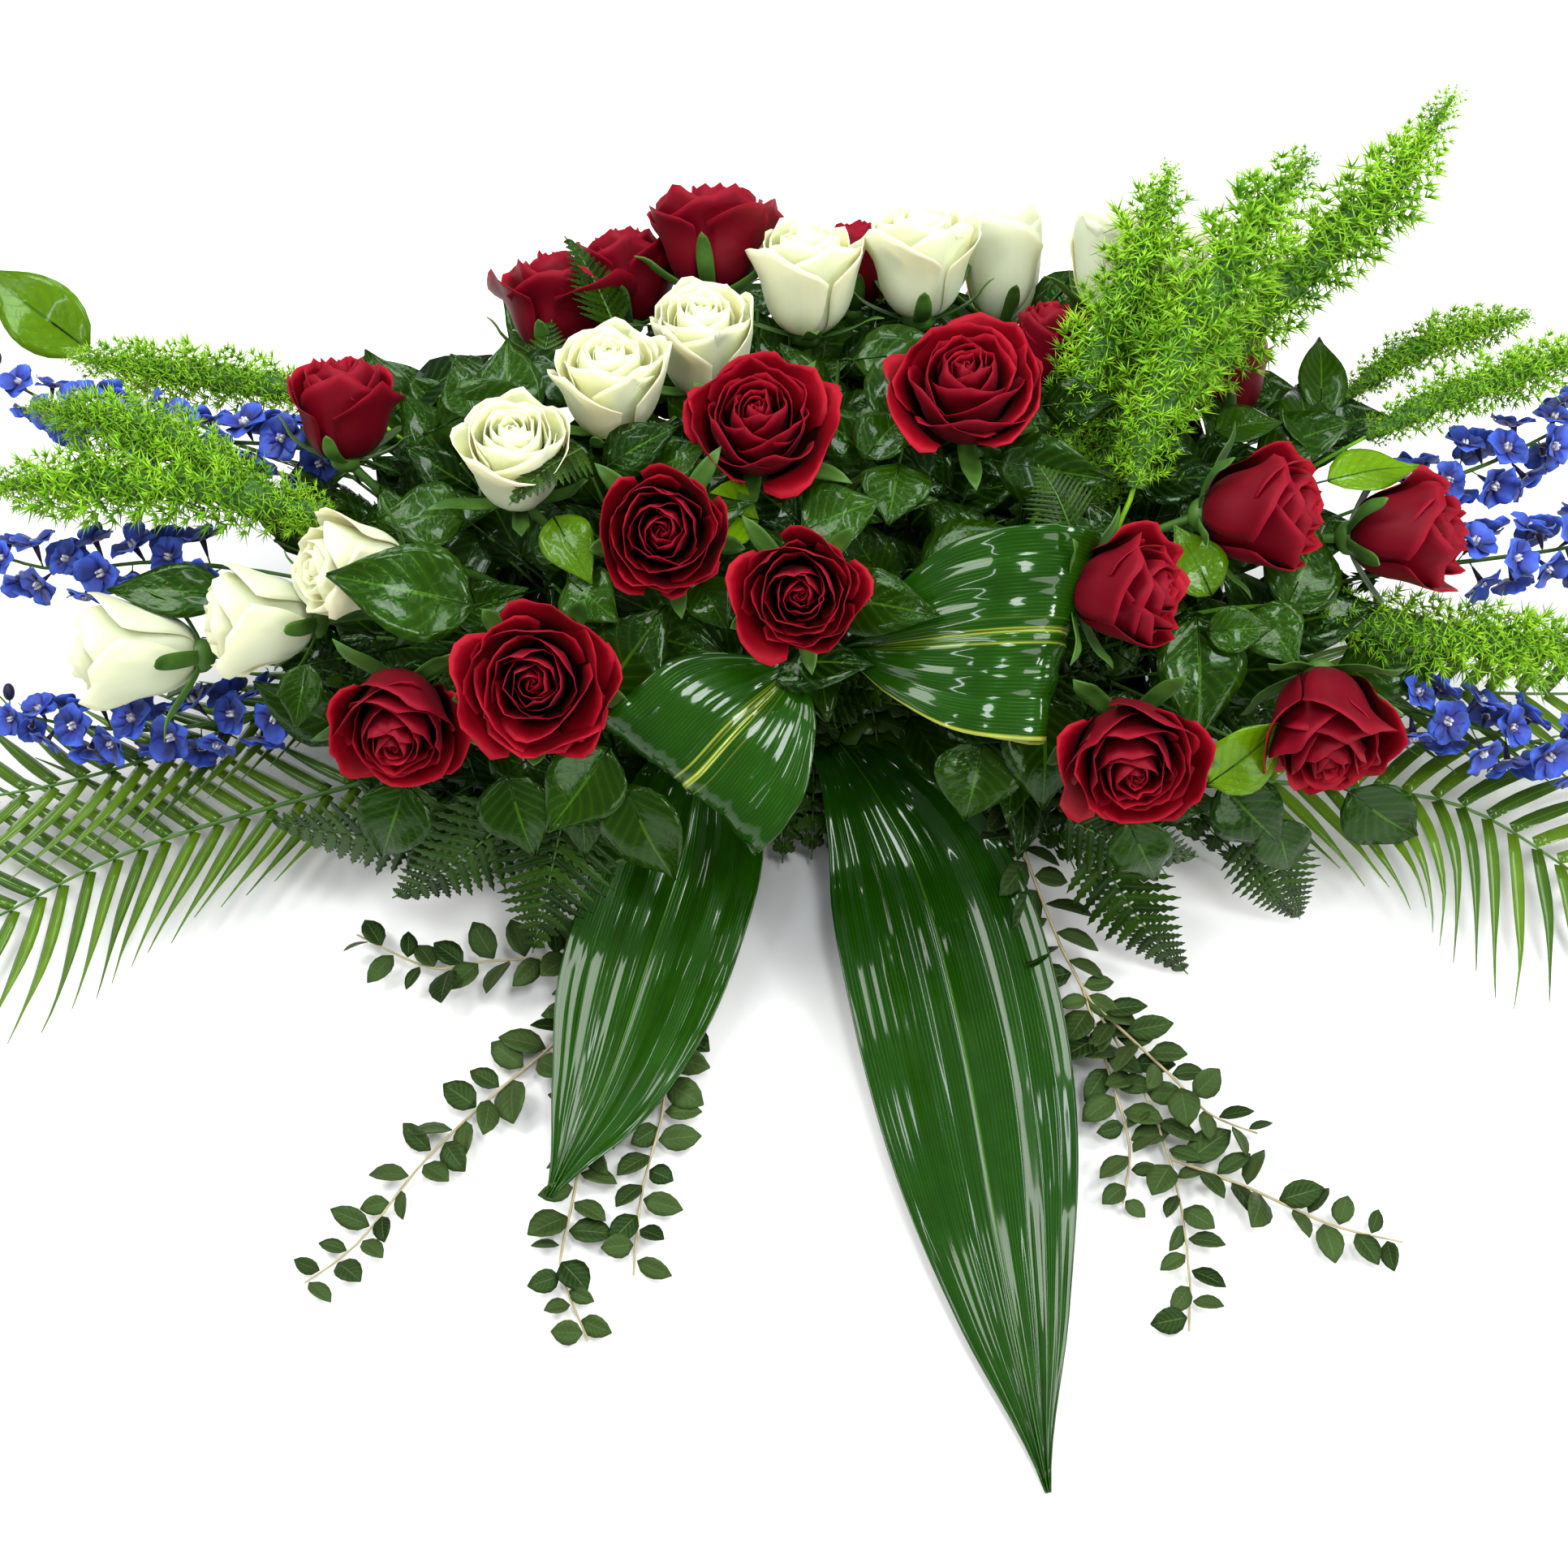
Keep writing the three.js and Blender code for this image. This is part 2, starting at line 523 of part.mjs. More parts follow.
// Leatherleaf fern: flat fronds cut in to the rib, each with its base, tip and width
const FERN = { pairs: 5, rib: 1.4 };
const LEATHERLEAVES = {
  leatherleaf_left: {
    hub: [-118, -34, 104],
    groups: [
      [[[-123, -12, -24], [-146, -98, -66], 76], [[-150, -14, -26], [-227, -66, -64], 70],
        [[-185, -22, -34], [-300, -20, -60], 74]],
      [[[-142, 224, -72], [-136, 272, -80], 46], [[-99, 268, -80], [-129, 322, -84], 46],
        [[-116, 184, -2], [-146, 152, 24], 38]],
    ],
  },
  leatherleaf_right: {
    hub: [118, -62, 106],
    groups: [
      [[[158, 140, 10], [140, 176, 8], 44]],
      [[[160, -20, -20], [240, -42, -60], 60], [[178, -38, -44], [238, -112, -88], 62],
        [[270, -28, -50], [306, -80, -98], 56]],
    ],
  },
};

function fernFrond(knot, base, tip, width) {
  const reach = base.distanceTo(tip);
  const start = knot.distanceTo(base) / (knot.distanceTo(base) + reach);
  const edge = comb({ pairs: FERN.pairs, start, reach: (t) => width / 2 * Math.min(1, 1.25 * (1.02 - t)),
    sweep: 0.06, rib: FERN.rib, lobe: [[1, 0]] });
  const face = outward(base.clone().lerp(tip, 0.5));
  const middle = base.clone().lerp(tip, 0.5).addScaledVector(face, 0.1 * reach);
  const side = tip.clone().sub(base).cross(face).normalize();
  return blade(through([knot, base, middle, tip]), side, edge, { droop: 0.002 });
}

// Eucalyptus: thin trailing stems with pairs of small oval leaves
const EUCALYPTUS = { rib: 1.3, gap: 52, leaf: 27, sweep: 12, lobe: [[0.55, -0.3], [1, 0.05]], droop: -0.006 };
const TRAILS = {
  eucalyptus_left: [
    [[-62, -70, 60], [-66, -104, 44], [-70, -140, 24], [-84, -178, 5]],
    [[-84, -178, 5], [-126, -190, 14], [-174, -195, 16], [-207, -197, 12], [-253, -173, 10]],
    [[-84, -178, 5], [-110, -215, 5], [-131, -244, 8], [-168, -282, 9], [-202, -321, 8], [-234, -369, 6],
      [-261, -392, 5]],
    [[-84, -178, 5], [-98, -250, 5], [-112, -309, 5], [-119, -356, 6], [-122, -384, 6], [-105, -425, 5]],
    [[-84, -178, 5], [-72, -215, 6], [-68, -254, 12], [-69, -292, 10], [-79, -340, 8], [-82, -388, 6]],
  ],
  eucalyptus_right: [
    [[108, -66, 66], [130, -110, 58], [146, -152, 42], [166, -204, 26], [200, -268, 14], [217, -326, 9],
      [221, -384, 7], [218, -420, 5]],
    [[217, -320, 10], [258, -339, 12], [301, -360, 10], [340, -369, 7]],
    [[178, -226, 21], [217, -270, 20], [239, -295, 17], [266, -305, 12]],
    [[172, -214, 23], [184, -262, 14], [194, -310, 8], [188, -345, 6]],
  ],
};

function eucalyptus(trails) {
  const pieces = trails.map((points) => {
    const curve = through(points);
    const length = curve.getLength();
    const edge = comb({ pairs: Math.round(length / EUCALYPTUS.gap), start: 24 / length,
      reach: (t) => EUCALYPTUS.leaf * (1 - 0.4 * t), sweep: EUCALYPTUS.sweep / length,
      rib: EUCALYPTUS.rib, lobe: EUCALYPTUS.lobe });
    const side = curve.points.at(-1).clone().sub(curve.points[0]).cross(new THREE.Vector3(0, 0, 1));
    return blade(curve, side, edge, { droop: EUCALYPTUS.droop });
  });
  const forward = new THREE.Vector3(0, -1, 0);
  const start = new THREE.Vector3(...trails[0][0]).addScaledVector(forward, 1.5);
  return join([stem(start, forward, 1.6), ...pieces]);
}

// Colours and finishes
const LOOKS = {
  tray: { color: 0x1f3d2a, roughness: 0.45 },
  foam: { color: 0x3f6b45, roughness: 0.95 },
  red: { color: 0x8c0d1f, roughness: 0.6 },
  white: { color: 0xece6cf, roughness: 0.6 },
  foxtail: { color: 0x86a53a, roughness: 0.6 },
  delphinium: { color: 0x2338b0, roughness: 0.55 },
  palm: { color: 0x3f7a2c, roughness: 0.4 },
  aspidistra: { color: 0x16401c, roughness: 0.25 },
  salal: { color: 0x3c6e33, roughness: 0.35 },
  fern: { color: 0x1f4a1e, roughness: 0.5 },
  eucalyptus: { color: 0x7d9383, roughness: 0.7 },
};

// The plants in the order in which they claim their room, each as its name, its body and its look
function numbered(name, rows, grow, look) {
  const digits = String(rows.length).length;
  return rows.map((row, k) => [`${name}_${String(k + 1).padStart(digits, "0")}`, grow(row), look]);
}

function named(rows, grow, look) {
  return Object.entries(rows).map(([name, row]) => [name, grow(row), look]);
}

const plants = [
  ...numbered("rose_red", RED_ROSES, rose, "red"),
  ...numbered("rose_white", WHITE_ROSES, rose, "white"),
  ...named(ASPIDISTRAS, aspidistra, "aspidistra"),
  ...numbered("foxtail_fern", FOXTAILS, foxtail, "foxtail"),
  ...numbered("delphinium", DELPHINIUMS, delphinium, "delphinium"),
  ...numbered("palm_frond", PALMS, palm, "palm"),
  ...named(SALAL, (row) => fork(row, leaf), "salal"),
  ["salal_back", salalBack(), "salal"],
  ...named(LEATHERLEAVES, (row) => fork(row, fernFrond), "fern"),
  ...named(TRAILS, eucalyptus, "eucalyptus"),
];

const object = new THREE.Group();

function show(name, body, look) {
  const mesh = body.getMesh();
  const geometry = new THREE.BufferGeometry();
  geometry.setAttribute("position", new THREE.Float32BufferAttribute(mesh.vertProperties, 3));
  geometry.setIndex(new THREE.Uint32BufferAttribute(mesh.triVerts, 1));
  const piece = new THREE.Mesh(geometry, new THREE.MeshStandardMaterial(LOOKS[look]));
  piece.name = name;
  object.add(piece);
}

// Leaves give way to what they lie against, in the order of the list
const rooms = [];
for (const [name, body, look] of plants) {
  const parts = rooms.reduce((rest, room) => rest.subtract(room), body).decompose();
  const whole = parts.reduce((largest, part) => (part.volume() > largest.volume() ? part : largest));
  rooms.push(grown(whole));
  show(name, whole, look);
}

// The foam block, with a plain hole for each stem, and the tray round its foot
const foamBase = TRAY.floor + CLEARANCE;
const block = box([FOAM.length, FOAM.depth, FOAM.height], [0, 0, foamBase + FOAM.height / 2]);
show("floral_foam", holes.reduce((rest, hole) => rest.subtract(hole), block), "foam");

const inner = [FOAM.length + 2 * CLEARANCE, FOAM.depth + 2 * CLEARANCE, TRAY.rim];
const outer = [inner[0] + 2 * TRAY.wall, inner[1] + 2 * TRAY.wall, TRAY.rim];
const tray = box(outer, [0, 0, TRAY.rim / 2]).subtract(box(inner, [0, 0, TRAY.rim / 2 + TRAY.floor]));
show("holder_tray", tray, "tray");

export default object;
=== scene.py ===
import itertools
import math
import random

import bmesh
import bpy
from mathutils import Matrix, Vector, noise


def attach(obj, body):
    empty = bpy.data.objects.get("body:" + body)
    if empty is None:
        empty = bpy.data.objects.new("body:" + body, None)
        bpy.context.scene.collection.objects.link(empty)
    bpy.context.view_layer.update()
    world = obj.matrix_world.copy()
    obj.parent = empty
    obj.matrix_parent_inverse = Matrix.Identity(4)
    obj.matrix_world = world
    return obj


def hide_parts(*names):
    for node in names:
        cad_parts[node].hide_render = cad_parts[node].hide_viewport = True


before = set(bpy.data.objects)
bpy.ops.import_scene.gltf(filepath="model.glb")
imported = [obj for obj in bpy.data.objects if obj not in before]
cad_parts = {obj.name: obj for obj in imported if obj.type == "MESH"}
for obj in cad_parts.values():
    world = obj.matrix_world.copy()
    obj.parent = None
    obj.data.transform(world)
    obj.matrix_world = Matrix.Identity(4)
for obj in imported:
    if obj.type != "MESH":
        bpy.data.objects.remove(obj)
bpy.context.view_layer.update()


# The studio: a plain pale floor under the tray, soft lamps above it, and a camera that looks down on
# the front of the arrangement. The directions across, up and out are those of this slanted view.
VIEW_CENTRE = Vector((0, -0.155, 0.14))
VIEW_TILT = math.radians(55)
VIEW_DISTANCE = 1.4
VIEW_WIDTH = 0.8694
SENSOR = 36
ACROSS = Vector((1, 0, 0))
UP = Vector((0, math.sin(VIEW_TILT), math.cos(VIEW_TILT)))
OUT = Vector((0, -math.cos(VIEW_TILT), math.sin(VIEW_TILT)))
FLOOR_SIZE = 12
SKY_STRENGTH = 0.27
LAMPS = {
    # name: place, width, height, power, colour
    "left_sky_lamp": ((-1.3, 0.2, 2.0), 0.9, 0.9, 31, (1.0, 0.99, 0.97)),
    "right_sky_lamp": ((1.35, 0.15, 2.0), 0.8, 0.8, 23, (1.0, 0.99, 0.97)),
    "left_strip": ((-0.5, 1.1, 1.7), 0.12, 1.4, 10, (0.92, 0.96, 1.0)),
    "right_strip": ((0.55, 1.1, 1.7), 0.12, 1.4, 10, (0.92, 0.96, 1.0)),
    "tail_strip": ((-0.45, 0.4, 2.0), 0.07, 1.2, 6, (0.92, 0.96, 1.0)),
    "streak_lamp": ((-1.15, -1.35, 1.9), 0.08, 1.3, 8, (0.90, 0.95, 1.0)),
    "overhead_lamp": ((0.33, -0.75, 2.0), 0.3, 0.6, 13, (0.95, 0.98, 1.0)),
    "right_crest_lamp": ((1.6, -1.1, 1.45), 0.3, 0.3, 10, (0.95, 0.98, 1.0)),
    "front_lamp": ((1.3, -2.4, 1.1), 1.1, 1.1, 21, (1.0, 0.99, 0.97)),
    "left_lamp": ((-2.1, -0.7, 1.3), 0.9, 0.9, 9, (1.0, 0.98, 0.95)),
    "right_lamp": ((2.1, -0.5, 1.0), 0.45, 0.45, 13, (1.0, 0.98, 0.95)),
}


def set_inputs(node, values):
    """Sets inputs of the node, each to another node's output or to a number, a vector or a colour."""
    for name, value in values.items():
        if isinstance(value, bpy.types.NodeSocket):
            node.id_data.links.new(value, node.inputs[name])
        else:
            node.inputs[name].default_value = (*value, 1) if node.inputs[name].type == "RGBA" else value


def new_material(name):
    material = bpy.data.materials.new(name)
    material.use_nodes = True
    return material


def shade(material, values):
    """Sets inputs of the material's shader."""
    set_inputs(material.node_tree.nodes["Principled BSDF"], values)


camera = bpy.data.objects.new("camera", bpy.data.cameras.new("camera"))
bpy.context.scene.collection.objects.link(camera)
camera.data.sensor_width = SENSOR
camera.data.lens = SENSOR * VIEW_DISTANCE / VIEW_WIDTH
camera.location = VIEW_CENTRE + VIEW_DISTANCE * OUT
camera.rotation_euler = Matrix((ACROSS, UP, OUT)).transposed().to_euler()
bpy.context.scene.camera = camera

for name, (spot, width, height, power, colour) in LAMPS.items():
    lamp = bpy.data.objects.new(name, bpy.data.lights.new(name, "AREA"))
    bpy.context.scene.collection.objects.link(lamp)
    lamp.data.shape = "RECTANGLE"
    lamp.data.size = width
    lamp.data.size_y = height
    lamp.data.energy = power
    lamp.data.color = colour
    lamp.location = spot
    lamp.rotation_euler = (Vector(spot) - VIEW_CENTRE).to_track_quat("Z", "Y").to_euler()

bpy.context.scene.view_settings.view_transform = "Standard"
world = bpy.data.worlds.new("studio")
world.use_nodes = True
set_inputs(world.node_tree.nodes["Background"], {"Color": (1, 1, 1), "Strength": SKY_STRENGTH})
bpy.context.scene.world = world

floor_bm = bmesh.new()
bmesh.ops.create_grid(floor_bm, x_segments=1, y_segments=1, size=FLOOR_SIZE / 2)
floor_mesh = bpy.data.meshes.new("floor")
floor_bm.to_mesh(floor_mesh)
floor_bm.free()
floor = bpy.data.objects.new("floor", floor_mesh)
bpy.context.scene.collection.objects.link(floor)
floor_paint = new_material("floor_paint")
shade(floor_paint, {"Base Color": (0.93, 0.93, 0.92), "Roughness": 0.9})
floor_mesh.materials.append(floor_paint)


# The tray and the foam: a moulded dark green plastic tray, and in it a soaked block of fine-pored
# floral foam that holds every stem. Both are the CAD solids with their finish.
def add_node(material, kind, values, **settings):
    """A new node of the material, with its settings and its inputs."""
    node = material.node_tree.nodes.new(f"ShaderNode{kind}")
    for name, setting in settings.items():
        setattr(node, name, setting)
    set_inputs(node, values)
    return node


def cloud(material, vector, scale, detail=2):
    """Soft noise from 0 to 1."""
    values = {"Vector": vector, "Scale": scale, "Detail": detail}
    return add_node(material, "TexNoise", values).outputs["Fac"]


def on_object(material):
    return add_node(material, "TexCoord", {}).outputs["Object"]


def ramp(material, value, *stops):
    """The colour at a value, from the colours at rising positions."""
    node = add_node(material, "ValToRGB", {"Fac": value})
    for element, (position, colour) in zip(node.color_ramp.elements, (stops[0], stops[-1])):
        element.position = position
        element.color = (*colour, 1)
    for position, colour in stops[1:-1]:
        node.color_ramp.elements.new(position).color = (*colour, 1)
    return node.outputs["Color"]


def rough_surface(material, height, strength, distance):
    """A bump on the material's shader."""
    bump = add_node(material, "Bump", {"Height": height, "Strength": strength, "Distance": distance})
    shade(material, {"Normal": bump.outputs["Normal"]})


def mottled(material, scale, low, high):
    """A base colour mottled between two colours, and its grain."""
    grain = cloud(material, on_object(material), scale, 4)
    return ramp(material, grain, (0.3, low), (0.7, high)), grain


def mottled_finish(name, scale, low, high, values, bump=None, pores=None):
    """A finish mottled between two colours, with a bump of the same grain or of finer pores."""
    material = new_material(name)
    colour, grain = mottled(material, scale, low, high)
    shade(material, {"Base Color": colour, **values})
    if pores:
        grain = cloud(material, on_object(material), *pores)
    if bump:
        rough_surface(material, grain, *bump)
    return material


foam_finish = mottled_finish("floral_foam", 60, (0.012, 0.045, 0.018), (0.03, 0.09, 0.035),
                             {"Roughness": 0.95}, bump=(0.6, 0.001), pores=(900, 2))
tray_finish = mottled_finish("tray_plastic", 25, (0.010, 0.040, 0.016), (0.014, 0.052, 0.021),
                             {"Roughness": 0.38}, bump=(0.15, 0.0003), pores=(1400, 1))
for node, finish in (("floral_foam", foam_finish), ("holder_tray", tray_finish)):
    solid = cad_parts[node]
    solid.data.materials.clear()
    solid.data.materials.append(finish)


# The roses: cut florist roses, deep red and ivory. Each bloom is a spiral of thin petals round a tight
# heart, the outer ones with rims that roll back, on a green hip with five sepals and a cut stem.
MM = 0.001
PETAL_THICKNESS = 0.32 * MM
SEPALS = 5
SEPAL_THICKNESS = 0.6 * MM
TIP_HALF_WIDTH = 0.2 * MM
GOLDEN_ANGLE = math.radians(137.5)
ROSE_STEM = 2.7 * MM
STEM_DEPTH = 0.030
FOAM_TOP = 0.083
STEM_BEND = 0.4
RED_ROSES = [
    # across, up, out of the middle of the bloom, turn, lean, width, height, how far it is open
    (-49, 322, -95, 100, 92, 70, 66, 1.15), (-151, 282, -108, 120, 85, 70, 64, 1.15),
    (-99, 307, -128, 100, 90, 60, 60, 1.1), (-9, 197, 10, 60, 25, 80, 55, 1.0),
    (106, 220, -10, 70, 30, 84, 58, 1.05), (-72, 136, 44, 200, 15, 74, 60, 0.95),
    (8, 102, 60, 270, 10, 70, 55, 1.0), (-140, 55, 45, 200, 15, 84, 58, 1.05),
    (-224, 36, 20, 230, 45, 72, 60, 0.95), (-275, 209, -60, 135, 75, 64, 60, 0.95),
    (264, 154, 5, 8, 64, 72, 68, 1.0), (353, 138, -30, -5, 70, 68, 66, 0.95),
    (184, 97, 40, -15, 56, 67, 60, 0.95), (193, 16, 35, -70, 35, 80, 58, 1.0),
    (321, 39, 0, -45, 65, 74, 68, 0.95), (283, 247, -135, 60, 80, 60, 58, 0.8),
    (47, 314, -137, 80, 85, 54, 54, 0.75), (163, 258, -88, 75, 70, 50, 50, 0.75),
]
WHITE_ROSES = [
    (-372, 68, -55, 190, 85, 68, 72, 0.95), (-292, 81, -15, 200, 75, 64, 62, 1.0),
    (-236, 110, 5, 200, 60, 62, 60, 1.0), (-166, 175, 5, 140, 50, 68, 60, 0.85),
    (-105, 222, -15, 110, 45, 70, 60, 0.95), (-54, 252, -55, 110, 45, 68, 64, 0.9),
    (11, 295, -80, 95, 60, 72, 66, 0.95), (85, 306, -85, 80, 65, 72, 66, 0.95),
    (141, 312, -125, 75, 85, 62, 70, 0.75), (203, 306, -88, 70, 80, 60, 64, 0.8),
    (248, 303, -126, 60, 85, 60, 64, 0.8),
]
ROSE_PETALS = {"red": 25, "white": 20}
# How the petals of each kind end: the size of their ruffles and of their point, how far their sides roll,
# how much lower the outer ones end, and how far they reach round the bloom
PETAL_ENDS = {"red": (1.25, 0.08, 1.0, 0.28, 1.0), "white": (1.3, 0.06, 0.6, 0.14, 1.25)}


def at(across, up, out):
    """A point of the slanted view, in millimetres from its centre."""
    return VIEW_CENTRE + MM * (across * ACROSS + up * UP + out * OUT)


def heading(turn, lean):
    """A direction in the slanted view: turn goes from across to up, lean tips it from the viewer."""
    a, b = math.radians(turn), math.radians(lean)
    return math.sin(b) * math.cos(a) * ACROSS + math.sin(b) * math.sin(a) * UP + math.cos(b) * OUT


def mix(a, b, share):
    return a + (b - a) * share


def ease(low, high, value):
    """Goes smoothly from 0 to 1 as the value goes from low to high."""
    t = min(1.0, max(0.0, (value - low) / (high - low)))
    return t * t * (3 - 2 * t)


def root_of(end):
    """Where the stem of a plant that starts at this end stands in the foam."""
    low = min(1.0, max(0.0, (0.150 - end.z) / 0.060))
    return Vector((0.190 * math.tanh(end.x / 0.290), 0.042 * math.tanh(end.y / 0.130),
                   FOAM_TOP - STEM_DEPTH * (1 + 0.55 * low)))


def stem_line(end, direction, steps=8):
    """The points of a stem from the foam up to its end."""
    root = root_of(end)
    turn = end - STEM_BEND * (end - root).length * direction
    shares = [k / steps for k in range(steps + 1)]
    return [(1 - t) ** 2 * root + 2 * t * (1 - t) * turn + t * t * end for t in shares]


def tube_mesh(points, radii, sides=6):
    """A closed tube along points, with a radius at each."""
    line = bpy.data.curves.new("tube", "CURVE")
    line.dimensions = "3D"
    line.bevel_depth = 1
    line.bevel_resolution = max(0, sides // 2 - 2)
    line.use_fill_caps = True
    spline = line.splines.new("POLY")
    spline.points.add(len(points) - 1)
    for knot, point, radius in zip(spline.points, points, radii):
        knot.co = (*point, 1)
        knot.radius = radius
    carrier = bpy.data.objects.new("tube", line)
    mesh = bpy.data.meshes.new_from_object(carrier)
    bpy.data.objects.remove(carrier)
    bpy.data.curves.remove(line)
    return mesh


def add_mesh(bm, mesh, matrix=None, keep=False):
    """Adds a copy of the mesh to bm, in its place."""
    copy = mesh.copy() if keep else mesh
    if matrix is not None:
        copy.transform(matrix)
    bm.from_mesh(copy)
    bpy.data.meshes.remove(copy)


def frame_of(origin, along, face):
    """A place whose Y axis runs along a line and whose Z axis is nearest to the face."""
    y = along.normalized()
    x = y.cross(face).normalized()
    z = x.cross(y)
    return Matrix.Translation(origin) @ Matrix((x, y, z)).transposed().to_4x4()


def finish_piece(bm, name, node, finishes, thickness=None):
    """Makes the bmesh a smooth piece with its thickness and finishes, which rides and replaces its node."""
    mesh = bpy.data.meshes.new(name)
    bm.to_mesh(mesh)
    bm.free()
    mesh.shade_smooth()
    for finish in finishes:
        mesh.materials.append(finish)
    piece = bpy.data.objects.new(name, mesh)
    bpy.context.scene.collection.objects.link(piece)
    if thickness:
        wall = piece.modifiers.new("thickness", "SOLIDIFY")
        wall.thickness = thickness
        wall.offset = 0
        wall.material_offset = len(finishes) - 1
        wall.material_offset_rim = 0
    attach(piece, "root")
    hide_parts(node)
    return piece


def rose_petal(bm, heart_tint_and_shade_layer, share, turn, radius, height, openness, ends, rnd):
    """One petal: a sheet that cups round the heart of the bloom and rolls back at its rim."""
    frill, point_size, side_roll, drop, spread = ends
    opened = mix(1, openness, share)
    spread = mix(spread, 1, ease(0.6, 1, share))
    bulge = mix(0.22, 0.84, share ** 1.1) * radius * rnd.uniform(0.95, 1.04)
    rim = mix(0.03, 0.86, share ** 1.4) * radius * opened * rnd.uniform(0.94, 1.04)
    top = height * (mix(0.90, 1.0, ease(0, 0.3, share)) - mix(0.05, drop, openness - 0.4) * share ** 1.6)
    top += height * rnd.uniform(-0.04, 0.04) * share
    radii = (0.06 * radius, bulge, mix(bulge, rim, 0.25), rim)
    heights = (0.02 * height, 0.03 * height, 0.62 * top, top)
    curl = 0.34 * share ** (1 + 0.5 * side_roll) * radius * openness * rnd.uniform(0.7 - 0.2 * share, 1.2)
    wrap = mix(2.7, mix(1.5, 1.0, ease(0.75, 1, openness)), share ** 0.45) * rnd.uniform(0.9, 1.1) * spread
    lean = rnd.uniform(-0.2, 0.2)
    ruffle_size = frill * (0.05 + 0.05 * share)
    seed = Vector((rnd.uniform(0, 50), rnd.uniform(0, 50), 0))
    segments = 6 if share < 0.3 else 9 if share < 0.65 else 12
    made = bmesh.ops.create_grid(bm, x_segments=segments, y_segments=segments, size=1, calc_uvs=True)
    for vert in made["verts"]:
        u, v = vert.co.x, (vert.co.y + 1) / 2
        point = point_size * share * math.exp(-((u - lean) / 0.22) ** 2)
        v *= 1 - mix(0.12, 0.26, share) / spread ** 2 * abs(u) ** 2.8 + point
        r, z = (
            (1 - v) ** 3 * p[0] + 3 * v * (1 - v) ** 2 * p[1] + 3 * v * v * (1 - v) * p[2] + v ** 3 * p[3]
            for p in (radii, heights))
        roll = ease(0.58, 1.05, v) * (0.5 + 0.4 * (1 - side_roll) + side_roll * abs(u - lean) ** 1.4)
        ruffle = noise.noise(Vector((2.2 * frill * u, 2.0 * v, 0)) + seed)
        r += curl * roll + 0.05 * radius * u * ease(0, 0.4, v) + ruffle_size * radius * ruffle * v * v
        r *= 1 + 0.06 * share * u * u * v
        z -= 0.62 * curl * roll ** 1.5 - 0.5 * ruffle_size * height * ruffle * v * v
        angle = turn + u * wrap * (0.5 + 0.5 * math.sin(math.pi / 2 * min(1, v / 0.6)))
        vert.co = (r * math.cos(angle), r * math.sin(angle), z)
        vert[heart_tint_and_shade_layer] = share


def rose(name, slot, row, finishes, rnd):
    across, up, out, turn, lean, width, height, openness = row
    direction = heading(turn, lean)
    height *= MM
    base = at(across, up, out) - direction * height / 2
    place = frame_of(base, ACROSS if abs(direction.x) < 0.8 else UP, direction)
    bm = bmesh.new()
    bm.loops.layers.uv.new("UVMap")
    # The share of each petal out from the heart, which its finish turns into tint and painted shade.
    heart_tint_and_shade_layer = bm.verts.layers.float.new("depth")
    for k in range(ROSE_PETALS[slot]):
        share = k / (ROSE_PETALS[slot] - 1)
        rose_petal(bm, heart_tint_and_shade_layer, share, k * GOLDEN_ANGLE + rnd.uniform(-0.15, 0.15),
                   width * MM / 2, height, openness, PETAL_ENDS[slot], rnd)
    bmesh.ops.transform(bm, matrix=place, verts=bm.verts)
    finish_piece(bm, f"{name}_petals", name, finishes, PETAL_THICKNESS)

    bm = bmesh.new()
    seat = base + direction * 0.12 * height
    line = stem_line(seat, direction)
    add_mesh(bm, tube_mesh(line, [ROSE_STEM] * (len(line) - 1) + [1.3 * ROSE_STEM], 8))
    hip = bmesh.ops.create_uvsphere(bm, u_segments=12, v_segments=8, radius=1)
    hip_place = place @ Matrix.Diagonal((0.15 * width * MM, 0.15 * width * MM, 0.12 * height, 1))
    bmesh.ops.transform(bm, matrix=hip_place, verts=hip["verts"])
    for k in range(SEPALS):
        sepal(bm, place, width * MM / 2, height, 2 * math.pi * k / SEPALS + rnd.uniform(-0.2, 0.2), rnd)
    finish_piece(bm, f"{name}_greens", name, [rose_green])


def sepal(bm, place, radius, height, turn, rnd):
    """A narrow pointed green leaf that hugs the foot of the bloom and turns out at its tip."""
    reach = height * rnd.uniform(0.38, 0.55)
    out_turn = rnd.uniform(0.2, 0.9)
    made = bmesh.ops.create_grid(bm, x_segments=4, y_segments=8, size=1)
    for vert in made["verts"]:
        u, v = vert.co.x, (vert.co.y + 1) / 2
        half = 0.16 * radius * (1 - v) ** 0.7 * (0.6 + 1.6 * v) + TIP_HALF_WIDTH
        r = radius * (0.12 + 0.82 * math.sin(math.pi / 2 * min(1, 1.5 * v))) + out_turn * reach * v ** 3
        z = reach * (v ** 1.2 - out_turn * 0.5 * v ** 3) - 0.03 * height
        side = u * half
        vert.co = (r * math.cos(turn) - side * math.sin(turn), r * math.sin(turn) + side * math.cos(turn),
                   z + 0.25 * abs(side))
    bmesh.ops.transform(bm, matrix=place, verts=made["verts"])
    faces = {face for vert in made["verts"] for face in vert.link_faces}
    bmesh.ops.solidify(bm, geom=list(faces), thickness=SEPAL_THICKNESS)


def blended(material, share, first, second, blend="MIX"):
    """Two colours mixed by a share."""
    values = {0: share, 6: first, 7: second}
    return add_node(material, "Mix", values, data_type="RGBA", blend_type=blend).outputs[2]


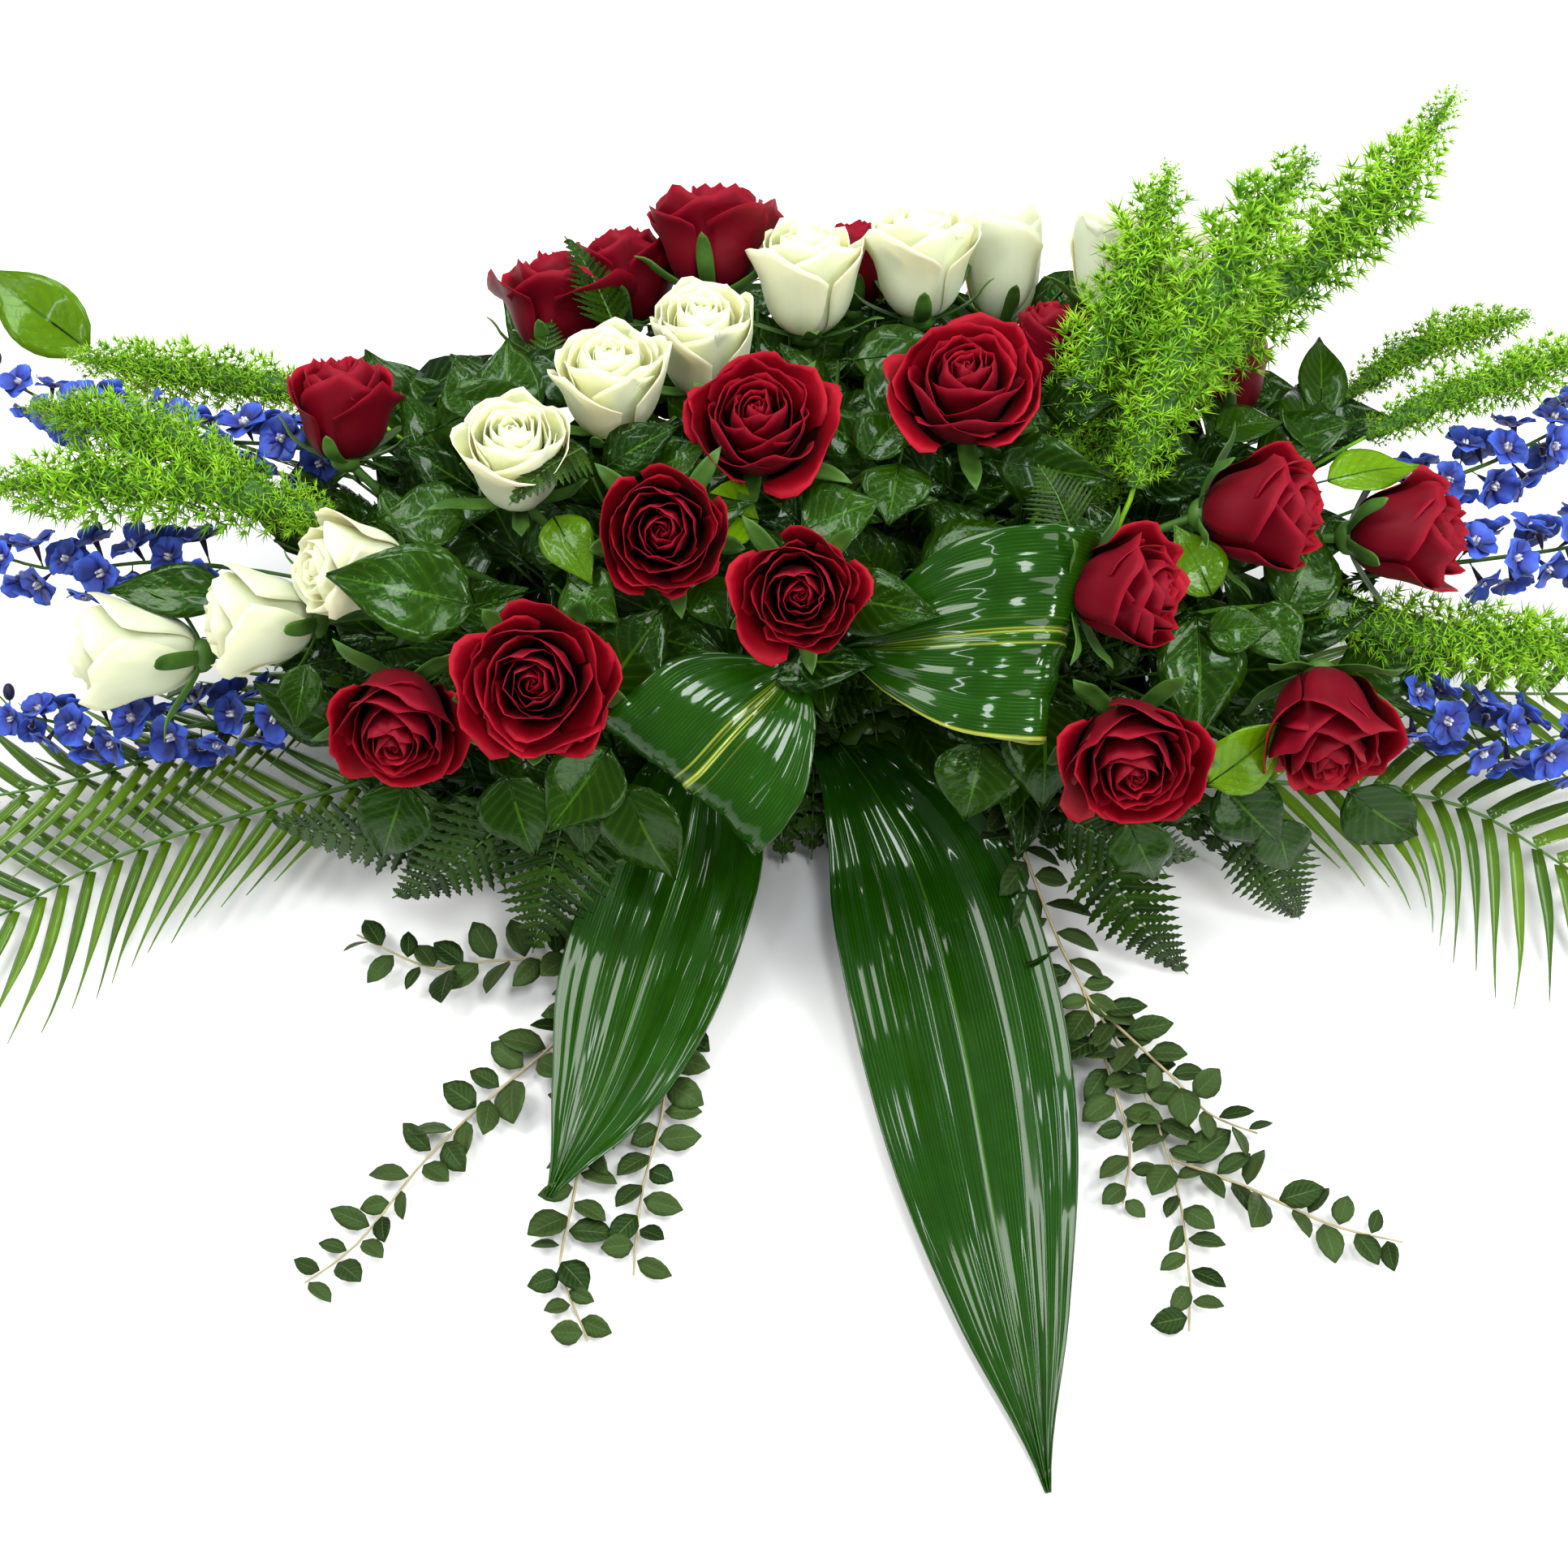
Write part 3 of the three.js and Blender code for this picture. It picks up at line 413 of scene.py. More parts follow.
def petal_finish(name, deep, full, rim, vein, subsurface, sheen, foot, foot_end):
    """A velvety petal with fine veins up it, darker in the heart and at its foot by its own tint and painted
    shade, and with a paler rim of painted highlight.
    """
    material = new_material(name)
    depth = add_node(material, "Attribute", {}, attribute_name="depth").outputs["Fac"]
    uv = add_node(material, "UVMap", {}).outputs["UV"]
    up = add_node(material, "SeparateXYZ", {"Vector": uv}).outputs["Y"]
    # Painted shade: each petal darkens toward its foot, where the petals overlap, the ivory ones partly by
    # their own greener tint.
    rise = add_node(material, "MapRange", {"Value": up, "From Min": foot_end - 0.5, "From Max": foot_end})
    stretched = add_node(material, "Mapping", {"Vector": uv, "Scale": (26, 1.6, 1)}).outputs["Vector"]
    veins = cloud(material, stretched, 1, 3)
    vein_share = add_node(material, "Math", {0: veins, 1: 0.35}, operation="MULTIPLY").outputs["Value"]
    # Painted highlight: each petal turns paler at its top, as where the rolled rim catches the light.
    edge = ramp(material, up, (0.86, (0, 0, 0)), (1, (1, 1, 1)))
    # Painted shade in the heart: the inner petals are darker, the ivory ones partly by their own greener
    # tint.
    colour = ramp(material, depth, (0, deep), (0.75, full))
    colour = blended(material, rise.outputs["Result"], foot, colour)
    colour = blended(material, edge, colour, rim)
    shade(material, {
        "Base Color": blended(material, vein_share, colour, vein), "Roughness": 0.5,
        "Specular IOR Level": 0.09, "Sheen Weight": sheen, "Sheen Roughness": 0.4,
        "Subsurface Weight": subsurface, "Subsurface Scale": 0.008, "Subsurface Radius": (1.0, 0.5, 0.3)})
    rough_surface(material, veins, 0.12, 0.0006)
    return material


rose_green = mottled_finish("rose_green", 45, (0.025, 0.08, 0.010), (0.08, 0.19, 0.025),
                            {"Roughness": 0.45, "Specular IOR Level": 0.3}, bump=(0.1, 0.0005))
red_petals = [
    petal_finish("red_petal_back", (0.07, 0.0004, 0.003), (0.12, 0.0008, 0.006), (0.24, 0.003, 0.014),
                 (0.17, 0.003, 0.014), 0.0, 0.01, (0.05, 0.0004, 0.003), 0.6),
    petal_finish("red_petal", (0.05, 0.0003, 0.002), (0.22, 0.0008, 0.007), (0.42, 0.006, 0.022),
                 (0.12, 0.0005, 0.003), 0.0, 0.01, (0.012, 0.0001, 0.0005), 0.85),
]
white_petals = [
    petal_finish("white_petal_back", (0.72, 0.74, 0.34), (0.75, 0.75, 0.49), (0.76, 0.77, 0.53),
                 (0.66, 0.67, 0.37), 0.35, 0.02, (0.60, 0.68, 0.20), 0.3),
    petal_finish("white_petal", (0.72, 0.76, 0.26), (0.76, 0.77, 0.43), (0.78, 0.79, 0.54),
                 (0.72, 0.73, 0.34), 0.35, 0.02, (0.60, 0.66, 0.14), 0.8),
]
for k, row in enumerate(RED_ROSES, 1):
    rose(f"rose_red_{k:02d}", "red", row, red_petals, random.Random(100 + k))
for k, row in enumerate(WHITE_ROSES, 1):
    rose(f"rose_white_{k:02d}", "white", row, white_petals, random.Random(200 + k))


# The salal: tough oval leaves with a pointed tip and a net of veins, on woody branches that fork between
# the roses and stand in the foam. Small cut tips fill the space between and below the blooms, and cover the
# foam from above and in front. Each leaf is a sheet bent along a line, as in the CAD.
SURFACE_GAP = 1.2 * MM
MOUND_HALF_WIDTH, MOUND_RADIUS, MOUND_AXIS = 0.540, 0.195, 0.060


def between(values, share):
    """The value at a share of a smooth run through evenly spaced values, numbers or vectors."""
    last = len(values) - 1
    k = min(int(share * last), last - 1)
    s = share * last - k
    a, b, c, d = values[max(k - 1, 0)], values[k], values[k + 1], values[min(k + 2, last)]
    return b + 0.5 * s * ((c - a) + s * ((2 * a - 5 * b + 4 * c - d) + s * (3 * (b - c) + d - a)))


def course(points, steps=48):
    """The smooth line through the points, as evenly spaced points."""
    fine = [between(points, k / 200) for k in range(201)]
    lengths = [0.0]
    for a, b in zip(fine, fine[1:]):
        lengths.append(lengths[-1] + (b - a).length)
    line, k = [], 0
    for step in range(steps + 1):
        target = lengths[-1] * step / steps
        while k < 199 and lengths[k + 1] < target:
            k += 1
        rest = (target - lengths[k]) / max(lengths[k + 1] - lengths[k], 1e-9)
        line.append(fine[k].lerp(fine[k + 1], min(1.0, rest)))
    return line


def length_of(line):
    return sum((b - a).length for a, b in zip(line, line[1:]))


def along_at(line, t):
    low, high = max(0.0, t - 0.01), min(1.0, t + 0.01)
    return (between(line, high) - between(line, low)).normalized()


def bent(line, side, x, y, z):
    """A point of a flat piece bent along a line: x sideways, y the share along it, z off its face."""
    t = min(1.0, max(0.0, y))
    along = along_at(line, t)
    sideways = (side - side.dot(along) * along).normalized()
    point = between(line, t) + (y - t) * length_of(line) * along + x * sideways
    point.z = max(point.z, SURFACE_GAP)
    return point + z * sideways.cross(along)


def sheet(bm, across, along, shape, tone):
    """A grid whose points go where shape puts them: u is -1 to 1 across it and v is 0 to 1 along it."""
    made = bmesh.ops.create_grid(bm, x_segments=across, y_segments=along, size=1, calc_uvs=True)
    layer = bm.verts.layers.float["tone"]
    for vert in made["verts"]:
        vert.co = shape(vert.co.x, (vert.co.y + 1) / 2)
        vert[layer] = tone


def new_leaves():
    bm = bmesh.new()
    bm.loops.layers.uv.new("UVMap")
    bm.verts.layers.float.new("tone")
    return bm


def outward(point):
    flat = (MOUND_RADIUS / MOUND_HALF_WIDTH) ** 2
    return Vector((point.x * flat, point.y, point.z - MOUND_AXIS)).normalized()


def stalk(bm, points, radius, sides=5, taper=0.7):
    radii = [mix(radius, radius * taper, k / (len(points) - 1)) for k in range(len(points))]
    add_mesh(bm, tube_mesh(points, radii, sides))


def leaf_finish(name, dark, light, vein, roughness, side_veins, streak=0.0, coat=0.0, midrib_width=0.02,
                young=None, margin=0.0, specular=0.3, net=0.0):
    """A leaf: a pale midrib, side veins that run to its edge, and a tone of its own for each leaf."""
    material = new_material(name)

    def maths(operation, a, b=0.0):
        return add_node(material, "Math", {0: a, 1: b}, operation=operation).outputs["Value"]

    def stretched(scale):
        return add_node(material, "Mapping", {"Vector": uv, "Scale": scale}).outputs["Vector"]

    tone = add_node(material, "Attribute", {}, attribute_name="tone").outputs["Fac"]
    body = ramp(material, tone, (0, dark), (0.78, light), (1, young or light))
    uv = add_node(material, "UVMap", {}).outputs["UV"]
    split = add_node(material, "SeparateXYZ", {"Vector": uv})
    across, up = split.outputs["X"], split.outputs["Y"]
    off_middle = maths("ABSOLUTE", maths("SUBTRACT", across, 0.5))
    midrib = maths("LESS_THAN", off_middle, midrib_width)
    slant = maths("MULTIPLY", off_middle, side_veins[1])
    phase = maths("SUBTRACT", maths("MULTIPLY", up, side_veins[0]), slant)
    lines = maths("POWER", maths("ABSOLUTE", maths("SINE", maths("MULTIPLY", phase, math.pi))), 0.35)
    share = maths("MAXIMUM", midrib, maths("MULTIPLY", maths("SUBTRACT", 1.0, lines), 0.45))
    colour = blended(material, share, body, vein)
    if streak:
        near_middle = maths("MAXIMUM", maths("SUBTRACT", 1.0, maths("MULTIPLY", off_middle, 11.0)), 0.0)
        threads = maths("SUBTRACT", cloud(material, stretched((70, 1.0, 1)), 1), 0.52)
        thin = maths("MULTIPLY", maths("MAXIMUM", threads, 0.0), 9.0)
        amount = maths("MULTIPLY", near_middle, maths("MINIMUM", maths("MULTIPLY", thin, streak), 1.0))
        edge = maths("MAXIMUM", maths("SUBTRACT", margin, across), 0.0)
        amount = maths("MAXIMUM", amount, maths("MINIMUM", maths("MULTIPLY", edge, 60.0), 0.7))
        colour = blended(material, amount, colour, PALE_STREAK)
    blotch = cloud(material, on_object(material), 55, 4)
    value = maths("ADD", 0.65, maths("MULTIPLY", blotch, 0.7))
    mottle = add_node(material, "HueSaturation", {"Color": colour, "Value": value})
    shade(material, {
        "Base Color": mottle.outputs["Color"], "Roughness": roughness, "Specular IOR Level": specular,
        "Specular Tint": (0.45, 1.0, 0.35), "Coat Weight": coat, "Coat Roughness": 0.06})
    height = maths("SUBTRACT", maths("MULTIPLY", blotch, 0.5), share)
    if net:
        quilt = add_node(material, "TexVoronoi", {"Vector": stretched((9, 16, 1)), "Scale": 1},
                         feature="DISTANCE_TO_EDGE").outputs["Distance"]
        height = maths("ADD", height, maths("MULTIPLY", maths("MINIMUM", quilt, 0.3), net))
    rough_surface(material, height, 0.35, 0.0008)
    return material


PALE_STREAK = (0.42, 0.46, 0.06)
LEAF_THICKNESS = 0.35 * MM
SALAL = {
    "salal_left": ((-84, -44, 112), [
        [((-168, 97, 28), (-246, 112, 42), 54), ((-178, 148, -10), (-226, 148, -8), 42),
         ((-126, 146, 20), (-104, 108, 32), 30), ((-118, 112, 22), (-90, 88, 32), 34)],
        [((-318, 108, -50), (-392, 112, -58), 32), ((-262, 66, 6), (-272, 30, -2), 26)],
        [((-209, 0, 2), (-228, -44, -24), 42)],
        [((-96, 20, 10), (-131, -26, 0), 46), ((-88, 0, 6), (-62, -58, -22), 46),
         ((-112, 10, -4), (-112, -42, -22), 36), ((-153, 6, 2), (-140, -42, -12), 44)],
        [((-156, 198, -36), (-160, 258, -62), 44), ((-175, 206, -30), (-190, 240, -50), 28),
         ((-74, 172, 2), (-43, 186, 2), 34)],
        [((-102, 46, 8), (-64, 98, 20), 50), ((-47, 112, 16), (-31, 84, 20), 28),
         ((-14, 146, 2), (-54, 150, 8), 40), ((10, 138, 20), (53, 155, 20), 40)],
    ]),
    "salal_right": ((172, -46, 106), [
        [((110, 24, 0), (101, -22, -8), 50), ((143, 48, 10), (145, -16, -8), 50)],
        [((228, 92, 6), (229, 24, 2), 52), ((232, 84, 12), (270, 86, 14), 26),
         ((262, 98, -6), (285, 66, -2), 38), ((236, 104, 8), (214, 142, 12), 34),
         ((280, 96, -14), (306, 150, -36), 46)],
        [((236, 0, -6), (278, 36, 2), 40), ((245, 0, -14), (283, -34, -40), 42),
         ((191, -20, -4), (213, -58, -34), 36), ((278, -20, -30), (291, -50, -56), 34)],
        [((308, 172, -30), (363, 180, -50), 32), ((300, 192, -48), (302, 236, -86), 34),
         ((312, 214, -70), (318, 266, -100), 30), ((245, 200, -36), (285, 206, -44), 32),
         ((228, 190, -44), (196, 168, -44), 36)],
        [((64, 178, -6), (57, 142, 10), 40), ((58, 204, -20), (67, 256, -66), 32),
         ((44, 181, -8), (74, 212, -28), 34)],
        [((326, -4, -58), (374, -34, -84), 44)],
    ]),
}
BACK_SPRIGS = (30, 240), (44, 262), (100, 258), (-66, 256)
SPRIG_LEAVES = 4
BACK_LEAVES = 9


def oval_leaf(bm, knot, base, tip, width, rnd, face=None, cells=(8, 11), tone=None):
    """One leaf on its stalk, arched along its length, folded at its midrib and waved at its edge."""
    reach = (tip - base).length
    face = face or outward(base.lerp(tip, 0.5))
    middle = base.lerp(tip, 0.5) + 0.06 * reach * face
    side = (tip - base).cross(face).normalized()
    line = course([base, middle, tip], 16)
    seed = Vector((rnd.uniform(0, 90), rnd.uniform(0, 90), 0))
    curl = rnd.uniform(-0.05, 0.10)

    def shape(u, v):
        oval = math.sin(math.pi * v ** 0.74) ** 0.88 if 0 < v < 1 else 0
        half = width * MM / 2 * max(0.03, oval * (1.04 - 0.46 * v ** 3))
        wave = noise.noise(Vector((1.5 * u, 3.5 * v, 0)) + seed)
        fold = 0.16 * half + 0.10 * width * MM * wave
        return bent(line, side, u * half, v, fold * abs(u) - curl * reach * v * v)

    sheet(bm, *cells, shape, rnd.uniform(0.1, 1) if tone is None else tone)
    stalk(bm, [knot, knot.lerp(base, 0.5) + 0.03 * reach * face, base, line[5]], 1.0 * MM, taper=0.4)


salal_leaf = leaf_finish(
    "salal_leaf", (0.0015, 0.009, 0.0003), (0.013, 0.042, 0.0007), (0.035, 0.095, 0.004), 0.22, (8, 5),
    coat=0.18, young=(0.12, 0.25, 0.002), specular=0.2, net=1.3)
salal_under = leaf_finish(
    "salal_underside", (0.005, 0.020, 0.0015), (0.022, 0.062, 0.003), (0.04, 0.10, 0.008), 0.5, (8, 5),
    specular=0.15)


def hub_and_limbs(bm, place, groups):
    """The forks of a branch: its stem, its limbs, and for each leaf the knot that it grows from."""
    hub = MM * Vector(place)
    direction = (hub - root_of(hub)).normalized()
    stalk(bm, stem_line(hub + 2 * MM * direction, direction), 2.3 * MM)
    for rows in groups:
        bases = [at(*base) for base, _, _ in rows]
        middle = sum(bases, Vector()) / len(bases)
        stalk(bm, [hub, hub.lerp(middle, 0.36), hub.lerp(middle, 0.72)], 1.8 * MM)
        for k, (base, tip, width) in enumerate(rows):
            yield hub.lerp(middle, 0.7 - 0.12 * k), at(*base), at(*tip), width


def mound(across, up):
    """How far out of the slanted view's middle plane the surface of the blooms lies."""
    return 60 - 0.00083 * across ** 2 - (0.003 if up > 80 else 0.0038) * (up - 80) ** 2


def filler_spots(rnd, step_across, step_up, low, high):
    """Places between and below the blooms, in an even but shaken pattern."""
    for row in range(int((high - low) / step_up) + 1):
        for column in range(-6, 7):
            across = step_across * (column + 0.5 * (row % 2)) + rnd.uniform(-20, 20)
            up = low + step_up * row + rnd.uniform(-16, 16)
            over_tails = -110 < across < 160 and up < 35
            if (across / 350) ** 2 + ((up - 125) / 185) ** 2 < 1 and not over_tails:
                yield across, up


BLOOMS = [(at(*row[:3]), max(row[5:7]) / 2 * MM) for row in RED_ROSES + WHITE_ROSES]


def hides_bloom(*points):
    """Whether one of the points lies in a bloom, or before it in the slanted view."""
    for point in points:
        for middle, radius in BLOOMS:
            depth = (point - middle).dot(OUT)
            if depth > -0.5 * radius and (point - middle - depth * OUT).length < 0.97 * radius:
                return True
    return False


def sprig(leaves, limbs, across, up, sink, rnd):
    """A cut tip of a salal branch: its stem out of the foam and the leaves near its end, whose darker tones
    are painted shade.
    """
    end = at(across, up, mound(across, up) - sink)
    direction = (end - root_of(end)).normalized()
    line = course(stem_line(end, direction), 16)
    stalk(limbs, line, 1.5 * MM)
    for k in range(SPRIG_LEAVES):
        knot = line[-1 - 3 * k]
        turn = k * GOLDEN_ANGLE + rnd.uniform(-0.4, 0.4)
        spread = math.cos(turn) * ACROSS + math.sin(turn) * UP
        way = (spread * rnd.uniform(0.8, 1.3) + direction * rnd.uniform(0.1, 0.5)).normalized()
        face = (OUT + 0.5 * direction + Vector([rnd.uniform(-0.5, 0.5) for _ in range(3)])).normalized()
        size = rnd.uniform(0.75, 1.15)
        base, tip = knot + 8 * MM * way, knot + 68 * MM * size * way
        if not hides_bloom(tip, base.lerp(tip, 0.5), base.lerp(tip, 0.8)):
            # Painted shade: the leaves of the cut tips that fill the gaps between and below the blooms take
            # darker tones.
            oval_leaf(leaves, knot, base, tip, 36 * size, rnd, face, (4, 7), rnd.uniform(0, 0.6))


filler = {name: list(filler_spots(random.Random(f"filler {name}"), 74, 40, -30, 290)) for name in SALAL}
for name, (hub, groups) in SALAL.items():
    rnd = random.Random(name)
    leaves, limbs = new_leaves(), bmesh.new()
    for knot, base, tip, width in hub_and_limbs(limbs, hub, groups):
        tones = (0.2, 0.6) if tip.z < 0.16 or width > 48 else (0.4, 1)
        oval_leaf(leaves, knot, base, tip, width, rnd, tone=rnd.uniform(*tones))
    for across, up in filler[name]:
        if (across < 0) == (name == "salal_left"):
            sprig(leaves, limbs, across, up, rnd.uniform(20, 50) if up > 170 else rnd.uniform(40, 75), rnd)
    finish_piece(leaves, f"{name}_leaves", name, [salal_leaf, salal_under], LEAF_THICKNESS)
    finish_piece(limbs, f"{name}_limbs", name, [rose_green])

rnd = random.Random("back")
leaves, limbs = new_leaves(), bmesh.new()
for across, up in (*filler_spots(rnd, 50, 30, 165, 300), *BACK_SPRIGS):
    sprig(leaves, limbs, across, up, rnd.uniform(85, 104), rnd)
middle = MM * Vector((6, 82, 94))
stalk(limbs, stem_line(middle, Vector((0, 0.6, 0.8))), 2.3 * MM)
for way in (-1, 1):
    branch = course([middle, MM * Vector((way * 125, 104, 98)), MM * Vector((way * 250, 100, 102))])
    stalk(limbs, branch[::6], 2 * MM)
    for k in range(BACK_LEAVES):
        rise = (0.8, -0.55, 0.15)[k % 3]
        direction = Vector((way * 0.3, math.cos(rise), math.sin(rise))).normalized()
        knot = between(branch, (k + 0.8) / (BACK_LEAVES + 0.6))
        oval_leaf(leaves, knot, knot + 14 * MM * direction, knot + 80 * MM * direction, 46, rnd)
limb = course([MM * Vector(p) for p in ((-250, 100, 102), (-345, 126, 112), (-420, 160, 146))])
stalk(limbs, limb[::6], 2 * MM)
far_base, far_tip = MM * Vector((-433, 167, 152)), MM * Vector((-505, 210, 183))
oval_leaf(leaves, limb[-1], far_base, far_tip, 46, rnd, OUT, tone=0.9)
finish_piece(leaves, "salal_back_leaves", "salal_back", [salal_leaf, salal_under], LEAF_THICKNESS)
finish_piece(limbs, "salal_back_limbs", "salal_back", [rose_green])


# The aspidistra leaves: long waxed leaves with parallel pleats, on short stalks that stand in the foam.
# Two are looped over the middle of the spray with their tips tucked back in, and two hang down in front.
ASPIDISTRA_THICKNESS = 0.7 * MM
PLEATS = 15
PLEAT_DEPTH = 0.13 * MM
GROOVE_DEPTH = 2 * MM
FOLD_DEPTH = 2.2 * MM
WAVE_DEPTH = 4 * MM
ARCH_DEPTH = 6 * MM
ASPIDISTRAS = {
    "aspidistra_loop_right": (
        [at(*p) for p in ((48, 62, -30), (85, 72, -2), (122, 78, 10), (146, 78, 20), (154, 79, 34),
                          (144, 81, 47), (110, 80, 50), (66, 77, 34), (30, 74, 10))],
        0.316 * ACROSS + 0.949 * UP, (8, 60, 100, 114, 116, 114, 100, 58, 6)),
    "aspidistra_loop_left": (
        [at(*p) for p in ((-4, 52, -40), (-22, 28, -18), (-40, 10, -4), (-53, 2, 8), (-56, 0, 21),
                          (-46, 8, 31), (-28, 28, 33), (-6, 50, 26), (8, 66, 12))],
        0.79 * ACROSS - 0.61 * UP, (8, 62, 98, 110, 112, 110, 100, 62, 8)),
    "aspidistra_tail_left": (
        [MM * Vector(p) for p in ((-36, -70, 66), (-51, -104, 68), (-60, -145, 48), (-78, -202, 30),
                                  (-100, -278, 20), (-130, -345, 12))],
        Vector((1, 0.12, 0)), (30, 86, 97, 90, 56, 4)),
    "aspidistra_tail_right": (
        [MM * Vector(p) for p in ((30, -70, 66), (54, -108, 62), (80, -156, 40), (102, -252, 22),
                                  (118, -377, 14), (137, -508, 3))],
        Vector((1, 0.12, 0)), (36, 106, 120, 104, 60, 3)),
}
WAXED = dict(roughness=0.2, side_veins=(0, 56), coat=0.5, midrib_width=0.006, specular=0.12)
GREENS = (0.004, 0.032, 0.0005), (0.011, 0.056, 0.001), (0.022, 0.085, 0.002)
aspidistra_finishes = {
    "aspidistra_loop_right": leaf_finish("aspidistra_margined", *GREENS, **WAXED, streak=0.5, margin=0.025),
    "aspidistra_loop_left": leaf_finish("aspidistra_streaked", *GREENS, **WAXED, streak=1.0),
}
aspidistra_finish = leaf_finish("aspidistra", *GREENS, **WAXED)
for name, (points, side, widths) in ASPIDISTRAS.items():
    rnd = random.Random(name)
    line = course(points, 72)
    seed = Vector((rnd.uniform(0, 90), 0, 0))

    def shape(u, v):
        half = max(1.5, between(widths, v)) * MM / 2
        pleat = PLEAT_DEPTH * math.cos(u * PLEATS * math.pi) * min(1, half / (30 * MM))
        groove = GROOVE_DEPTH * math.exp(-abs(u) / 0.05)
        fold = FOLD_DEPTH * noise.noise(Vector((4.5 * u, 0.8 * v, 0)) + seed)
        wave = WAVE_DEPTH * noise.noise(Vector((1.2 * u, 5 * v, 3)) + seed) * abs(u) + fold
        arch = 0 if "loop" in name else ARCH_DEPTH * u * u * min(1, half / (45 * MM))
        return bent(line, side, u * half, v, pleat - groove + wave - arch)

    bm = new_leaves()
    sheet(bm, 90, 44 if "loop" in name else 36, shape, rnd.random())
    start = between(line, 0.03)
    finish = aspidistra_finishes.get(name, aspidistra_finish)
    finish_piece(bm, f"{name}_leaf", name, [finish], ASPIDISTRA_THICKNESS)
    bm = bmesh.new()
    stalk(bm, stem_line(start, along_at(line, 0.0)), 2.3 * MM)
    finish_piece(bm, f"{name}_stalk", name, [rose_green])


# The foxtail fern: plumes of short bright needles, in small tufts set round a stem that tapers to its tip.
# The dense needles near the stem are a dark core round it, dark with painted shade, and each stem stands in
# the foam.
FOXTAILS = [
    [(((159, 188, -42), (175, 239, -34), (201, 294, -30), (219, 349, -34)), 48)],
    [(((197, 166, -15), (206, 203, -10), (229, 257, -8), (261, 307, -12), (295, 352, -20)), 56),
     (((178, 150, -62), (190, 200, -58), (206, 250, -54), (224, 296, -52)), 44)],
    [(((222, 214, -72), (255, 252, -72), (317, 314, -68), (355, 351, -65), (387, 398, -60)), 54)],
    [(((333, 229, -110), (367, 254, -112), (406, 271, -115), (448, 281, -118)), 32)],
    [(((339, 202, -70), (386, 226, -75), (440, 244, -80), (485, 262, -85)), 36)],
    [(((302, 101, -52), (344, 92, -55), (391, 83, -62), (480, 78, -80)), 48)],
    [(((-270, 231, -140), (-310, 242, -140), (-349, 248, -140), (-435, 260, -140)), 40)],
    [(((-254, 151, -40), (-300, 163, -42), (-347, 172, -46), (-464, 172, -55)), 50),
     (((-300, 163, -42), (-322, 182, -44), (-362, 204, -48), (-434, 218, -56)), 36)],
]
TUFT_GAP_TO_WIDTH = 0.0225
CLUSTERS = (0.22, 0.46, 0.70, 0.92)
NEEDLES = 7


def tuft(rnd):
    """Clusters of fine needles that spread like stars, along a side branch 1 long that is not itself drawn.
    """
    bm = bmesh.new()
    for share in CLUSTERS:
        for k in range(NEEDLES):
            length = rnd.uniform(0.28, 0.42)
            needle = bmesh.ops.create_cone(
                bm, segments=3, cap_ends=True, depth=length, radius1=0.027, radius2=0)
            lean = math.radians(rnd.uniform(25, 95) if share < 0.9 else rnd.uniform(0, 85))
            place = (Matrix.Translation((0, 0, share + rnd.uniform(-0.04, 0.04)))
                     @ Matrix.Rotation(k * GOLDEN_ANGLE + rnd.uniform(-0.3, 0.3), 4, "Z")
                     @ Matrix.Rotation(lean, 4, "X") @ Matrix.Translation((0, 0, length / 2)))
            bmesh.ops.transform(bm, matrix=place, verts=needle["verts"])
    mesh = bpy.data.meshes.new("tuft")
    bm.to_mesh(mesh)
    bm.free()
    return mesh


needle_green = mottled_finish(
    "foxtail_needle", 38, (0.06, 0.25, 0.004), (0.30, 0.64, 0.02),
    {"Roughness": 0.5, "Specular IOR Level": 0.25, "Subsurface Weight": 0.15, "Subsurface Scale": 0.003})
# Painted shade: the core is coloured as the dense needles in the shade deep inside the plume.
inner_needles_painted_shade = mottled_finish("foxtail_inner_needles_painted_shade", 400, (0.006, 0.035, 0.002), (0.06, 0.20, 0.01),
                             {"Roughness": 0.8}, bump=(0.6, 0.003))
tufts = [tuft(random.Random(k)) for k in range(4)]
for number, plumes in enumerate(FOXTAILS, 1):
    rnd = random.Random(f"foxtail {number}")
    bm, core = bmesh.new(), bmesh.new()
    for points, width in plumes:
        line = course([at(*p) for p in points], 64)
        length = length_of(line)
        first = between(line, 0.06)
        stalk(bm, stem_line(first, along_at(line, 0.0)), 2 * MM)
        stalk(bm, line[::4], 1.8 * MM, taper=0.35)
        inner = []
        for k in range(len(line)):
            share = k / (len(line) - 1)
            swell = min(1, 0.4 + 3 * share, 0.10 + 2.2 * (1 - share))
            inner.append(0.20 * width * MM * swell * rnd.uniform(0.75, 1.2))
        add_mesh(core, tube_mesh(line, inner, 8))
        count = int(length / (TUFT_GAP_TO_WIDTH * width * MM))
        for k in range(count):
            t = (k + rnd.uniform(0, 0.9)) / count
            reach = width * MM / 2 * min(1, 0.6 + 1.6 * t, 0.20 + 2.4 * (1 - t)) * rnd.uniform(0.78, 1.0)
            lean = math.radians(mix(62, 40, t) + rnd.uniform(-9, 9))
            place = (frame_of(between(line, t), along_at(line, t), OUT)
                     @ Matrix.Rotation(k * GOLDEN_ANGLE, 4, "Y")
                     @ Matrix.Rotation(lean - math.pi / 2, 4, "X")
                     @ Matrix.Scale(reach / math.sin(lean), 4))
            add_mesh(bm, rnd.choice(tufts), place, keep=True)
    finish_piece(bm, f"foxtail_fern_{number}_plume", f"foxtail_fern_{number}", [needle_green])
    finish_piece(core, f"foxtail_fern_{number}_core", f"foxtail_fern_{number}", [inner_needles_painted_shade])


